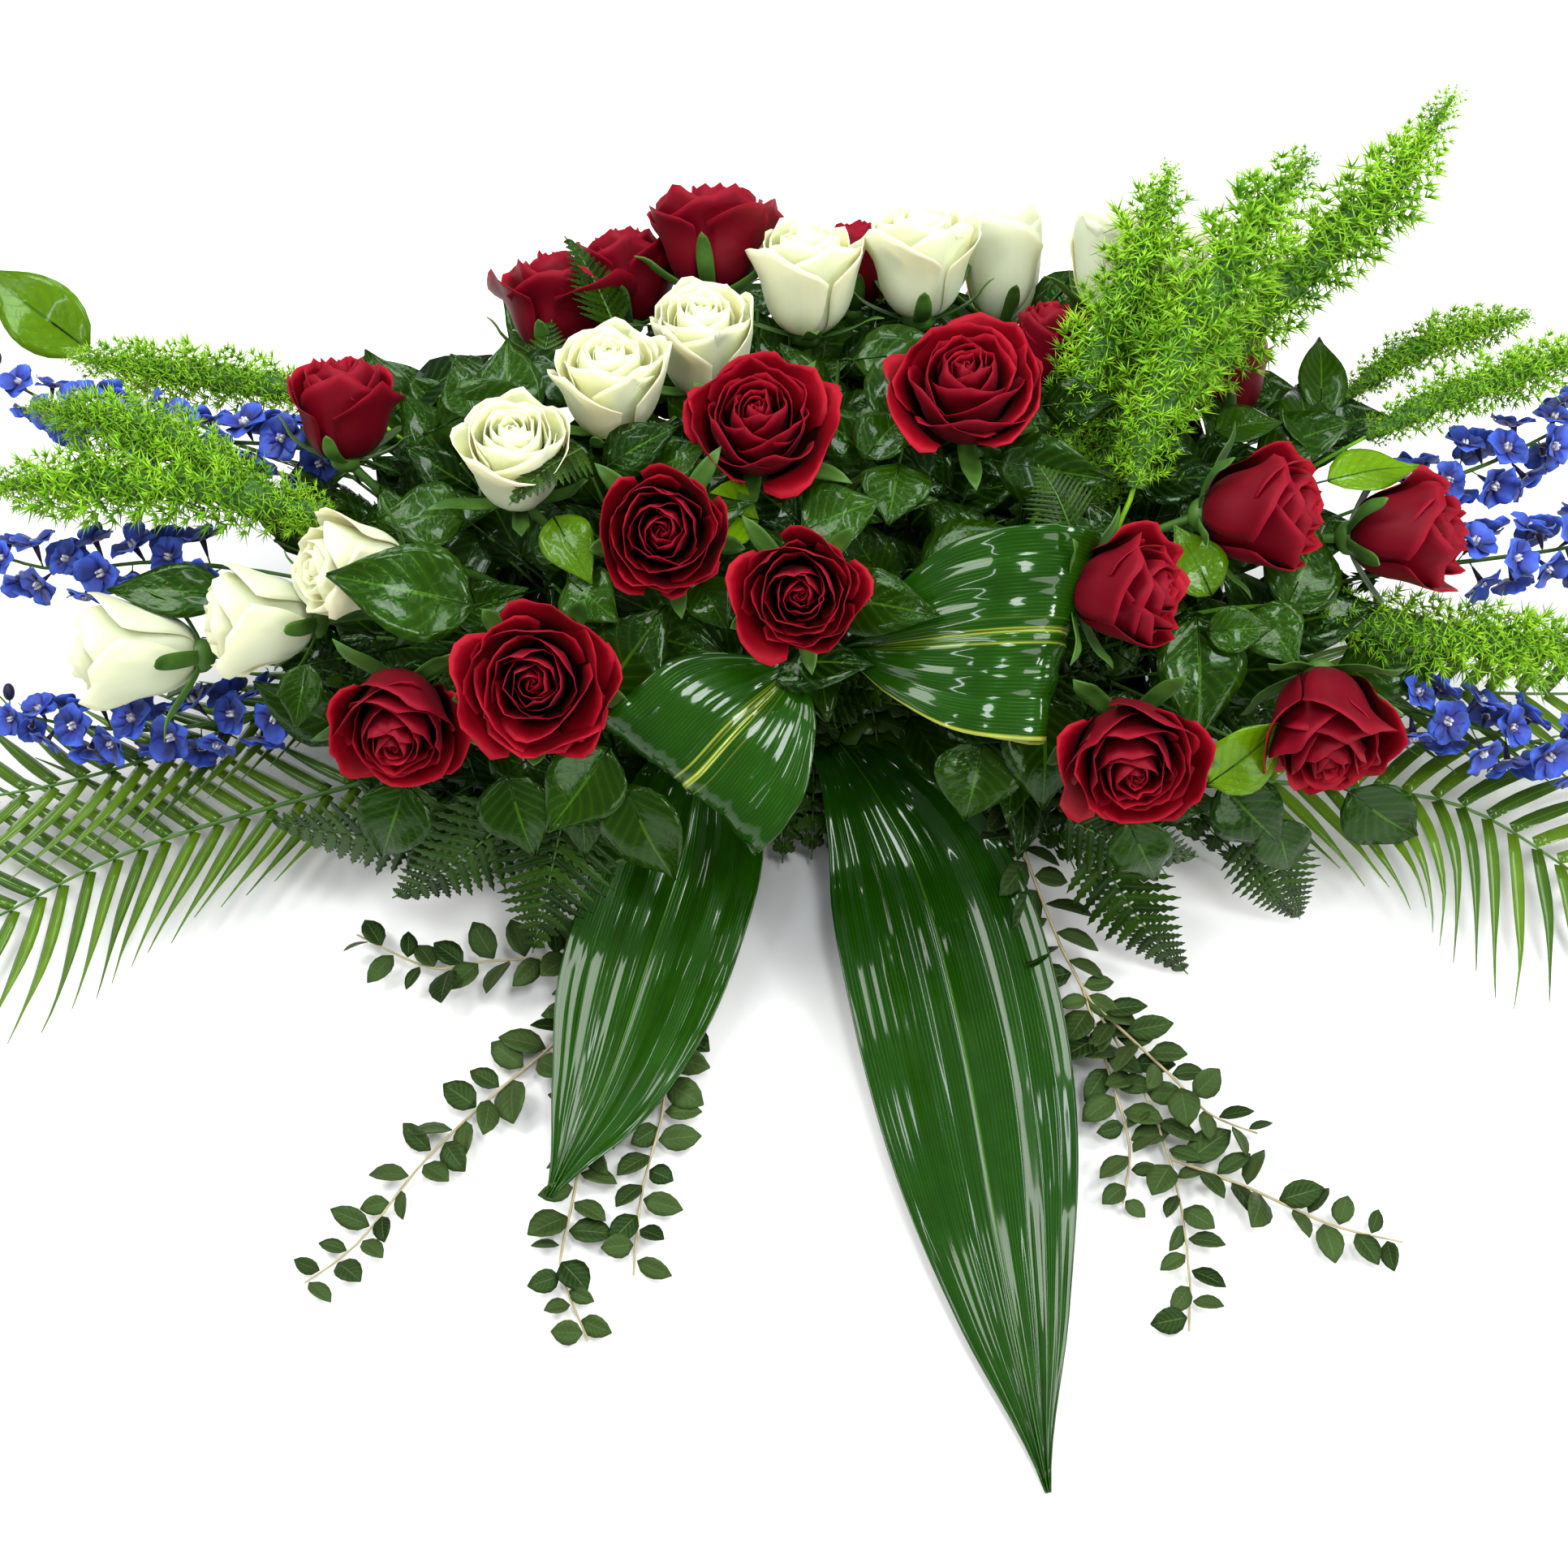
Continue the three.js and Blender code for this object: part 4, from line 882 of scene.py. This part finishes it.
# The delphinium: spikes of cobalt blue florets round a stem, open below and in bud toward the tip. Each
# floret has five thin petals, a pale eye and a spur on a short stalk, and the stem stands in the foam.
DELPHINIUMS = [
    ((-262, 196, -105), (-306, 202, -100), (-349, 205, -97), (-430, 224, -97), (-493, 260, -105)),
    ((-322, 127, -85), (-372, 131, -90), (-438, 128, -97), (-505, 151, -110)),
    ((-286, 50, -85), (-330, 38, -95), (-379, 32, -100), (-440, 38, -103), (-498, 56, -110)),
    ((355, 168, -92), (390, 180, -95), (431, 196, -100), (510, 237, -120)),
    ((384, 128, -70), (415, 132, -74), (450, 137, -80), (531, 153, -105)),
    ((350, 48, -70), (385, 38, -73), (421, 29, -80), (518, 8, -100)),
]
FLORET_GAP = 7.6 * MM
FLORET_PETALS = 5
EYE_BEADS = 4
SMALLEST_OPEN = 0.72


def floret_parts(rnd):
    """An open floret 1 in radius that faces up Z: five cupped petals, a pale eye and a spur behind."""
    petals = bmesh.new()
    shade_layer = petals.verts.layers.float.new("shade")
    for k in range(FLORET_PETALS):
        made = bmesh.ops.create_grid(petals, x_segments=4, y_segments=4, size=1)
        lift = rnd.uniform(0.15, 0.75)
        for vert in made["verts"]:
            u, v = vert.co.x, (vert.co.y + 1) / 2
            half = 0.60 * math.sin(math.pi * (0.10 + 0.74 * v)) ** 0.6
            r = 0.10 + 0.90 * v * (1 - 0.30 * u * u * v)
            z = 0.12 + lift * v + 0.12 * u * u - 0.15 * v ** 3 + 0.05 * math.sin(5 * u + 3 * v + k)
            vert.co = (u * half, r, z)
            # Painted shade: each petal is darker toward the middle of the floret.
            vert[shade_layer] = 0.3 + 0.7 * v
        turn = 2 * math.pi * (k + rnd.uniform(-0.06, 0.06)) / FLORET_PETALS
        bmesh.ops.rotate(petals, matrix=Matrix.Rotation(turn, 3, "Z"), verts=made["verts"])
    bmesh.ops.solidify(petals, geom=petals.faces[:], thickness=0.03)
    eye = bmesh.new()
    for k in range(EYE_BEADS):
        bead = bmesh.ops.create_cone(eye, segments=5, cap_ends=True, radius1=0.13, radius2=0.05, depth=0.3)
        angle = 2 * math.pi * k / EYE_BEADS + 0.4
        spot = (0.11 * math.cos(angle), 0.11 * math.sin(angle), 0.24)
        bmesh.ops.translate(eye, vec=spot, verts=bead["verts"])
    spur = bmesh.ops.create_cone(petals, segments=6, cap_ends=True, radius1=0.05, radius2=0.16, depth=0.75)
    bmesh.ops.translate(petals, vec=(0, 0, -0.25), verts=spur["verts"])
    meshes = []
    for bm, name in ((petals, "petals"), (eye, "eye")):
        mesh = bpy.data.meshes.new(name)
        bm.to_mesh(mesh)
        bm.free()
        meshes.append(mesh)
    return meshes


delphinium_blue = new_material("delphinium_petal")
mottle, grain = mottled(delphinium_blue, 90, (0.25, 0.25, 0.25), (1.15, 1.15, 1.15))
# The petals darken toward the floret's middle, painted shade; the buds and spurs take the darkest navy.
petal_share = add_node(delphinium_blue, "Attribute", {}, attribute_name="shade").outputs["Fac"]
blues = ramp(delphinium_blue, petal_share, (0, (0.006, 0.005, 0.06)), (0.35, (0.008, 0.014, 0.22)),
             (1, (0.05, 0.13, 0.72)))
shade(delphinium_blue, {
    "Base Color": blended(delphinium_blue, 1, blues, mottle, "MULTIPLY"), "Roughness": 0.5,
    "Specular IOR Level": 0.3, "Sheen Weight": 0.1})
rough_surface(delphinium_blue, grain, 0.2, 0.0008)
delphinium_eye = mottled_finish("delphinium_eye", 300, (0.02, 0.02, 0.10), (0.80, 0.80, 0.85),
                                {"Roughness": 0.6})

florets = [floret_parts(random.Random(30 + k)) for k in range(3)]
for number, points in enumerate(DELPHINIUMS, 1):
    rnd = random.Random(f"delphinium {number}")
    line = course([at(*p) for p in points], 64)
    count = int(length_of(line) / FLORET_GAP)
    petals, eyes, stems = bmesh.new(), bmesh.new(), bmesh.new()
    petals.verts.layers.float.new("shade")
    stalk(stems, stem_line(between(line, 0.02), along_at(line, 0.0)), 2 * MM)
    stalk(stems, line[::4], 1.9 * MM, taper=0.45)
    for k in range(1, count + 1):
        t = k / count
        size = 1 if t < 0.6 else 1 - 1.5 * (t - 0.6)
        along = along_at(line, t)
        round_way = (OUT - OUT.dot(along) * along).normalized()
        turn = 0.8 * ((math.degrees(k * GOLDEN_ANGLE)) % 360 - 180)
        round_way = Matrix.Rotation(math.radians(turn), 3, along) @ round_way
        direction = (round_way + 0.35 * along).normalized()
        facing = direction.to_track_quat("Z", "Y").to_matrix().to_4x4()
        root = between(line, t)
        if size > SMALLEST_OPEN:
            place = Matrix.Translation(root + direction * rnd.uniform(9, 17) * MM * size) @ facing
            place = place @ Matrix.Rotation(rnd.uniform(0, 6), 4, "Z")
            place = place @ Matrix.Scale(rnd.uniform(12.5, 15.5) * MM * size, 4)
            petal_mesh, eye_mesh = rnd.choice(florets)
            add_mesh(petals, petal_mesh, place, keep=True)
            add_mesh(eyes, eye_mesh, place, keep=True)
        else:
            bud = bmesh.ops.create_uvsphere(petals, u_segments=8, v_segments=6, radius=1)
            place = Matrix.Translation(root + direction * 17 * MM * size) @ facing
            place = place @ Matrix.Diagonal((5.5 * MM * size, 5.5 * MM * size, 8 * MM * size, 1))
            bmesh.ops.transform(petals, matrix=place, verts=bud["verts"])
        stalk(stems, [root, root + direction * 12 * MM * size], 0.6 * MM, sides=4)
    node = f"delphinium_{number}"
    finish_piece(petals, f"{node}_petals", node, [delphinium_blue])
    finish_piece(eyes, f"{node}_eyes", node, [delphinium_eye])
    finish_piece(stems, f"{node}_stems", node, [rose_green])


# The palm fronds: long folded leaflets, smooth and slightly glossy, on both sides of a smooth rib. The ribs
# stand in the foam, arch out of it to both sides and come down to the table.
PALMS = [
    # points of the rib, the way across the frond, the length of its leaflets
    (((-250, -92, 52), (-345, -114, 38), (-407, -133, 26), (-464, -161, 14), (-506, -180, 8)),
     (0.45, -0.89, 0), 115),
    (((-252, -8, 62), (-340, -56, 54), (-430, -86, 44), (-530, -98, 32)), (0.1, -1, 0), 80),
    (((250, -92, 56), (351, -96, 50), (409, -108, 46), (465, -139, 30), (502, -164, 15)),
     (-0.45, -0.89, 0), 115),
    (((252, 0, 66), (350, -30, 68), (435, -33, 62), (536, -20, 45)), (0.1, -1, 0), 80),
]
PALM_PAIRS = 16
LEAFLET_HALF_WIDTH = 4 * MM
LEAFLET_START = 1.8 * MM
palm_finish = leaf_finish("palm_leaflet", (0.016, 0.055, 0.002), (0.080, 0.16, 0.004), (0.11, 0.20, 0.015),
                          0.22, (0, 14), coat=0.4)
for number, (points, side, leaflet) in enumerate(PALMS, 1):
    rnd = random.Random(f"palm {number}")
    line = course([MM * Vector(p) for p in points], 64)
    side = Vector(side)
    length = length_of(line)
    bm = new_leaves()
    for k in range(2 * PALM_PAIRS):
        way = 1 if k % 2 else -1
        low = 0.02 + 0.96 * (k // 2) / PALM_PAIRS + rnd.uniform(0, 0.01)
        reach = leaflet * MM * (0.45 + 0.75 * low) * min(1, 2.6 * (1.04 - low)) * rnd.uniform(0.88, 1.0)
        sweep = 0.16 * length + 12 * MM
        slope = Vector((way * reach, sweep)).normalized()
        hang = rnd.uniform(0.7, 1.25)

        def shape(u, v):
            swell = 0.35 + 0.65 * math.sin(math.pi * min(1, v + 0.25))
            half = LEAFLET_HALF_WIDTH * swell * (1 - v ** 3) + TIP_HALF_WIDTH
            x = way * (LEAFLET_START + reach * v) - u * half * slope.y
            y = low + (sweep * v + u * half * slope.x) / length
            return bent(line, side, x, y, -1.6 * hang * x * x + 0.35 * abs(u) * half)

        sheet(bm, 2, 9, shape, rnd.random())
    node = f"palm_frond_{number}"
    finish_piece(bm, f"{node}_leaflets", node, [palm_finish], LEAF_THICKNESS)
    bm = bmesh.new()
    stalk(bm, stem_line(between(line, 0.02), along_at(line, 0.0)), 2 * MM)
    stalk(bm, line[::4], 2 * MM, taper=0.4)
    finish_piece(bm, f"{node}_rib", node, [rose_green])


# The leatherleaf fern: flat dark leathery fronds cut in to the rib, with toothed side leaflets. They stand
# in the foam between the blooms, and short ones hang over the front of the tray.
LEATHERLEAVES = {
    "leatherleaf_left": ((-118, -34, 104), [
        [((-123, -12, -24), (-146, -98, -66), 76), ((-150, -14, -26), (-227, -66, -64), 70),
         ((-185, -22, -34), (-300, -20, -60), 74)],
        [((-142, 224, -72), (-136, 272, -80), 46), ((-99, 268, -80), (-129, 322, -84), 46),
         ((-112, 184, 12), (-148, 150, 42), 38)],
    ]),
    "leatherleaf_right": ((118, -62, 106), [
        [((158, 140, 10), (140, 176, 8), 44)],
        [((160, -20, -20), (240, -42, -60), 60), ((178, -38, -44), (238, -112, -88), 62),
         ((270, -28, -50), (306, -80, -98), 56)],
    ]),
}
FRONT_FERNS = (-196, -160, -124, -88, -52, -16, 18, 52, 88, 122, 158, 194)
FRONT_ROWS = (-52, 84, 0), (-58, 60, 18)
fern_finish = leaf_finish("leatherleaf", (0.002, 0.009, 0.0004), (0.016, 0.045, 0.0015), (0.03, 0.07, 0.005),
                          0.25, (9, 6), coat=0.15, specular=0.15)


def fern_frond(leaves, ribs, knot, base, tip, width, rnd, pairs=13, cells=13):
    reach = (tip - base).length
    face = outward(base.lerp(tip, 0.5))
    line = course([base, base.lerp(tip, 0.5) + 0.1 * reach * face, tip], 24)
    side = (tip - base).cross(face).normalized()
    for k in range(2 * pairs):
        way = 1 if k % 2 else -1
        low = 0.01 + 0.97 * (k // 2) / pairs
        span = width * MM / 2 * min(1, 1.25 * (1.04 - low)) * rnd.uniform(0.9, 1.03)
        sweep = 0.55 * span
        slope = Vector((way * span, sweep)).normalized()

        def shape(u, v):
            tooth = 0.5 + 0.5 * abs(math.sin((cells / 2) * math.pi * v))
            half = 0.60 * reach / pairs * tooth * (1 - v ** 2.4)
            half = half * (0.6 + 0.4 * min(1, 5 * v)) + TIP_HALF_WIDTH
            x = way * span * v - u * half * slope.y
            y = low + (sweep * v + u * half * slope.x) / reach
            return bent(line, side, x, y, -2.0 * x * x + 0.25 * abs(u) * half)

        sheet(leaves, 2, cells, shape, rnd.random())
    stalk(ribs, [knot, knot.lerp(base, 0.6), *line[::4]], 1.2 * MM, taper=0.4)


for name, (hub, groups) in LEATHERLEAVES.items():
    rnd = random.Random(name)
    leaves, limbs = new_leaves(), bmesh.new()
    for knot, base, tip, width in hub_and_limbs(limbs, hub, groups):
        fern_frond(leaves, limbs, knot, base, tip, width, rnd)
    for across, up in filler_spots(rnd, 90, 50, -40, 285):
        if (across < 0) == (name == "leatherleaf_left"):
            end = at(across, up, mound(across, up) - rnd.uniform(25, 60))
            root = root_of(end)
            side_way = rnd.uniform(-1, 1) * ACROSS + rnd.uniform(-0.6, 0.6) * UP
            tip = end + 45 * MM * side_way
            if not hides_bloom(tip, end, root.lerp(tip, 0.8)):
                fern_frond(leaves, limbs, root, root.lerp(end, 0.45), tip, 62, rnd, 9, 7)
    for x, (y, z, shift) in itertools.product(FRONT_FERNS, FRONT_ROWS):
        x += shift
        if (x < 0) == (name == "leatherleaf_left"):
            base = MM * Vector((x, y, z))
            droop = (0.3 * x + rnd.uniform(-12, 12), rnd.uniform(-76, -58), rnd.uniform(-74, -64) * z / 84)
            root = base - 20 * MM * Vector((0, -0.4, 1))
            fern_frond(leaves, limbs, root, base, base + MM * Vector(droop), 62, rnd, 8, 6)
    finish_piece(leaves, f"{name}_leaflets", name, [fern_finish], LEAF_THICKNESS)
    finish_piece(limbs, f"{name}_ribs", name, [rose_green])


# The eucalyptus: thin woody stems with pairs of small matte grey-green leaves. They stand in the foam and
# trail over the front of the tray onto the table.
TRAILS = {
    "eucalyptus_left": [
        ((-62, -70, 60), (-66, -104, 44), (-70, -140, 24), (-84, -178, 5)),
        ((-84, -178, 5), (-126, -190, 14), (-174, -195, 16), (-207, -197, 12), (-253, -173, 10)),
        ((-84, -178, 5), (-110, -215, 5), (-131, -244, 8), (-168, -282, 9), (-202, -321, 8), (-234, -369, 6),
         (-261, -392, 5)),
        ((-84, -178, 5), (-98, -250, 5), (-112, -309, 5), (-119, -356, 6), (-122, -384, 6), (-105, -425, 5)),
        ((-84, -178, 5), (-72, -215, 6), (-68, -254, 12), (-69, -292, 10), (-79, -340, 8), (-82, -388, 6)),
    ],
    "eucalyptus_right": [
        ((108, -66, 66), (130, -110, 58), (146, -152, 42), (166, -204, 26), (200, -268, 14), (217, -326, 9),
         (221, -384, 7), (218, -420, 5)),
        ((217, -320, 10), (258, -339, 12), (301, -360, 10), (340, -369, 7)),
        ((178, -226, 21), (217, -270, 20), (239, -295, 17), (266, -305, 12)),
        ((172, -214, 23), (184, -262, 14), (194, -310, 8), (188, -345, 6)),
    ],
}
EUCALYPTUS_GAP = 18 * MM
eucalyptus_finish = leaf_finish("eucalyptus_leaf", (0.005, 0.014, 0.002), (0.034, 0.058, 0.015),
                                (0.06, 0.09, 0.03), 0.4, (7, 4), specular=0.2)
eucalyptus_wood = mottled_finish("eucalyptus_stem", 90, (0.28, 0.24, 0.12), (0.42, 0.36, 0.20),
                                 {"Roughness": 0.6})
for name, trails in TRAILS.items():
    rnd = random.Random(name)
    leaves, stems = new_leaves(), bmesh.new()
    forward = Vector((0, -1, 0))
    start = MM * Vector(trails[0][0])
    stalk(stems, stem_line(start + 1.5 * MM * forward, forward), 1.6 * MM)
    for points in trails:
        line = course([MM * Vector(p) for p in points], 48)
        stalk(stems, line[::3], 1.2 * MM, taper=0.5)
        length = length_of(line)
        side = (line[-1] - line[0]).cross(Vector((0, 0, 1))).normalized()
        for k in range(int(2 * length / EUCALYPTUS_GAP)):
            t = (k + 0.8) * EUCALYPTUS_GAP / 2 / length
            way = 1 if k % 2 else -1
            reach = MM * 32 * (1 - 0.35 * t) * rnd.uniform(0.65, 1.05)
            width = reach * rnd.uniform(0.5, 0.8)
            along = along_at(line, min(1, t))
            out_way = way * side + rnd.uniform(-0.1, 1.3) * along
            out_way = (out_way + Vector((0, 0, rnd.uniform(-0.05, 0.35)))).normalized()
            base = between(line, min(1, t)) + 1.5 * MM * out_way
            tip = base + reach * out_way
            tip.z = max(tip.z, 3 * MM)
            face = Vector((rnd.uniform(-0.8, 0.8), rnd.uniform(-0.8, 0.8), 1)).normalized()
            small = course([base, base.lerp(tip, 0.5) + 0.05 * reach * face, tip], 8)
            across = (tip - base).cross(face).normalized()

            def shape(u, v):
                half = width / 2 * max(0.05, math.sin(math.pi * v ** 0.9) ** 0.7 if 0 < v < 1 else 0)
                return bent(small, across, u * half, v, 0.2 * abs(u) * half)

            sheet(leaves, 4, 5, shape, rnd.random())
    finish_piece(leaves, f"{name}_leaves", name, [eucalyptus_finish], LEAF_THICKNESS)
    finish_piece(stems, f"{name}_stems", name, [eucalyptus_wood])
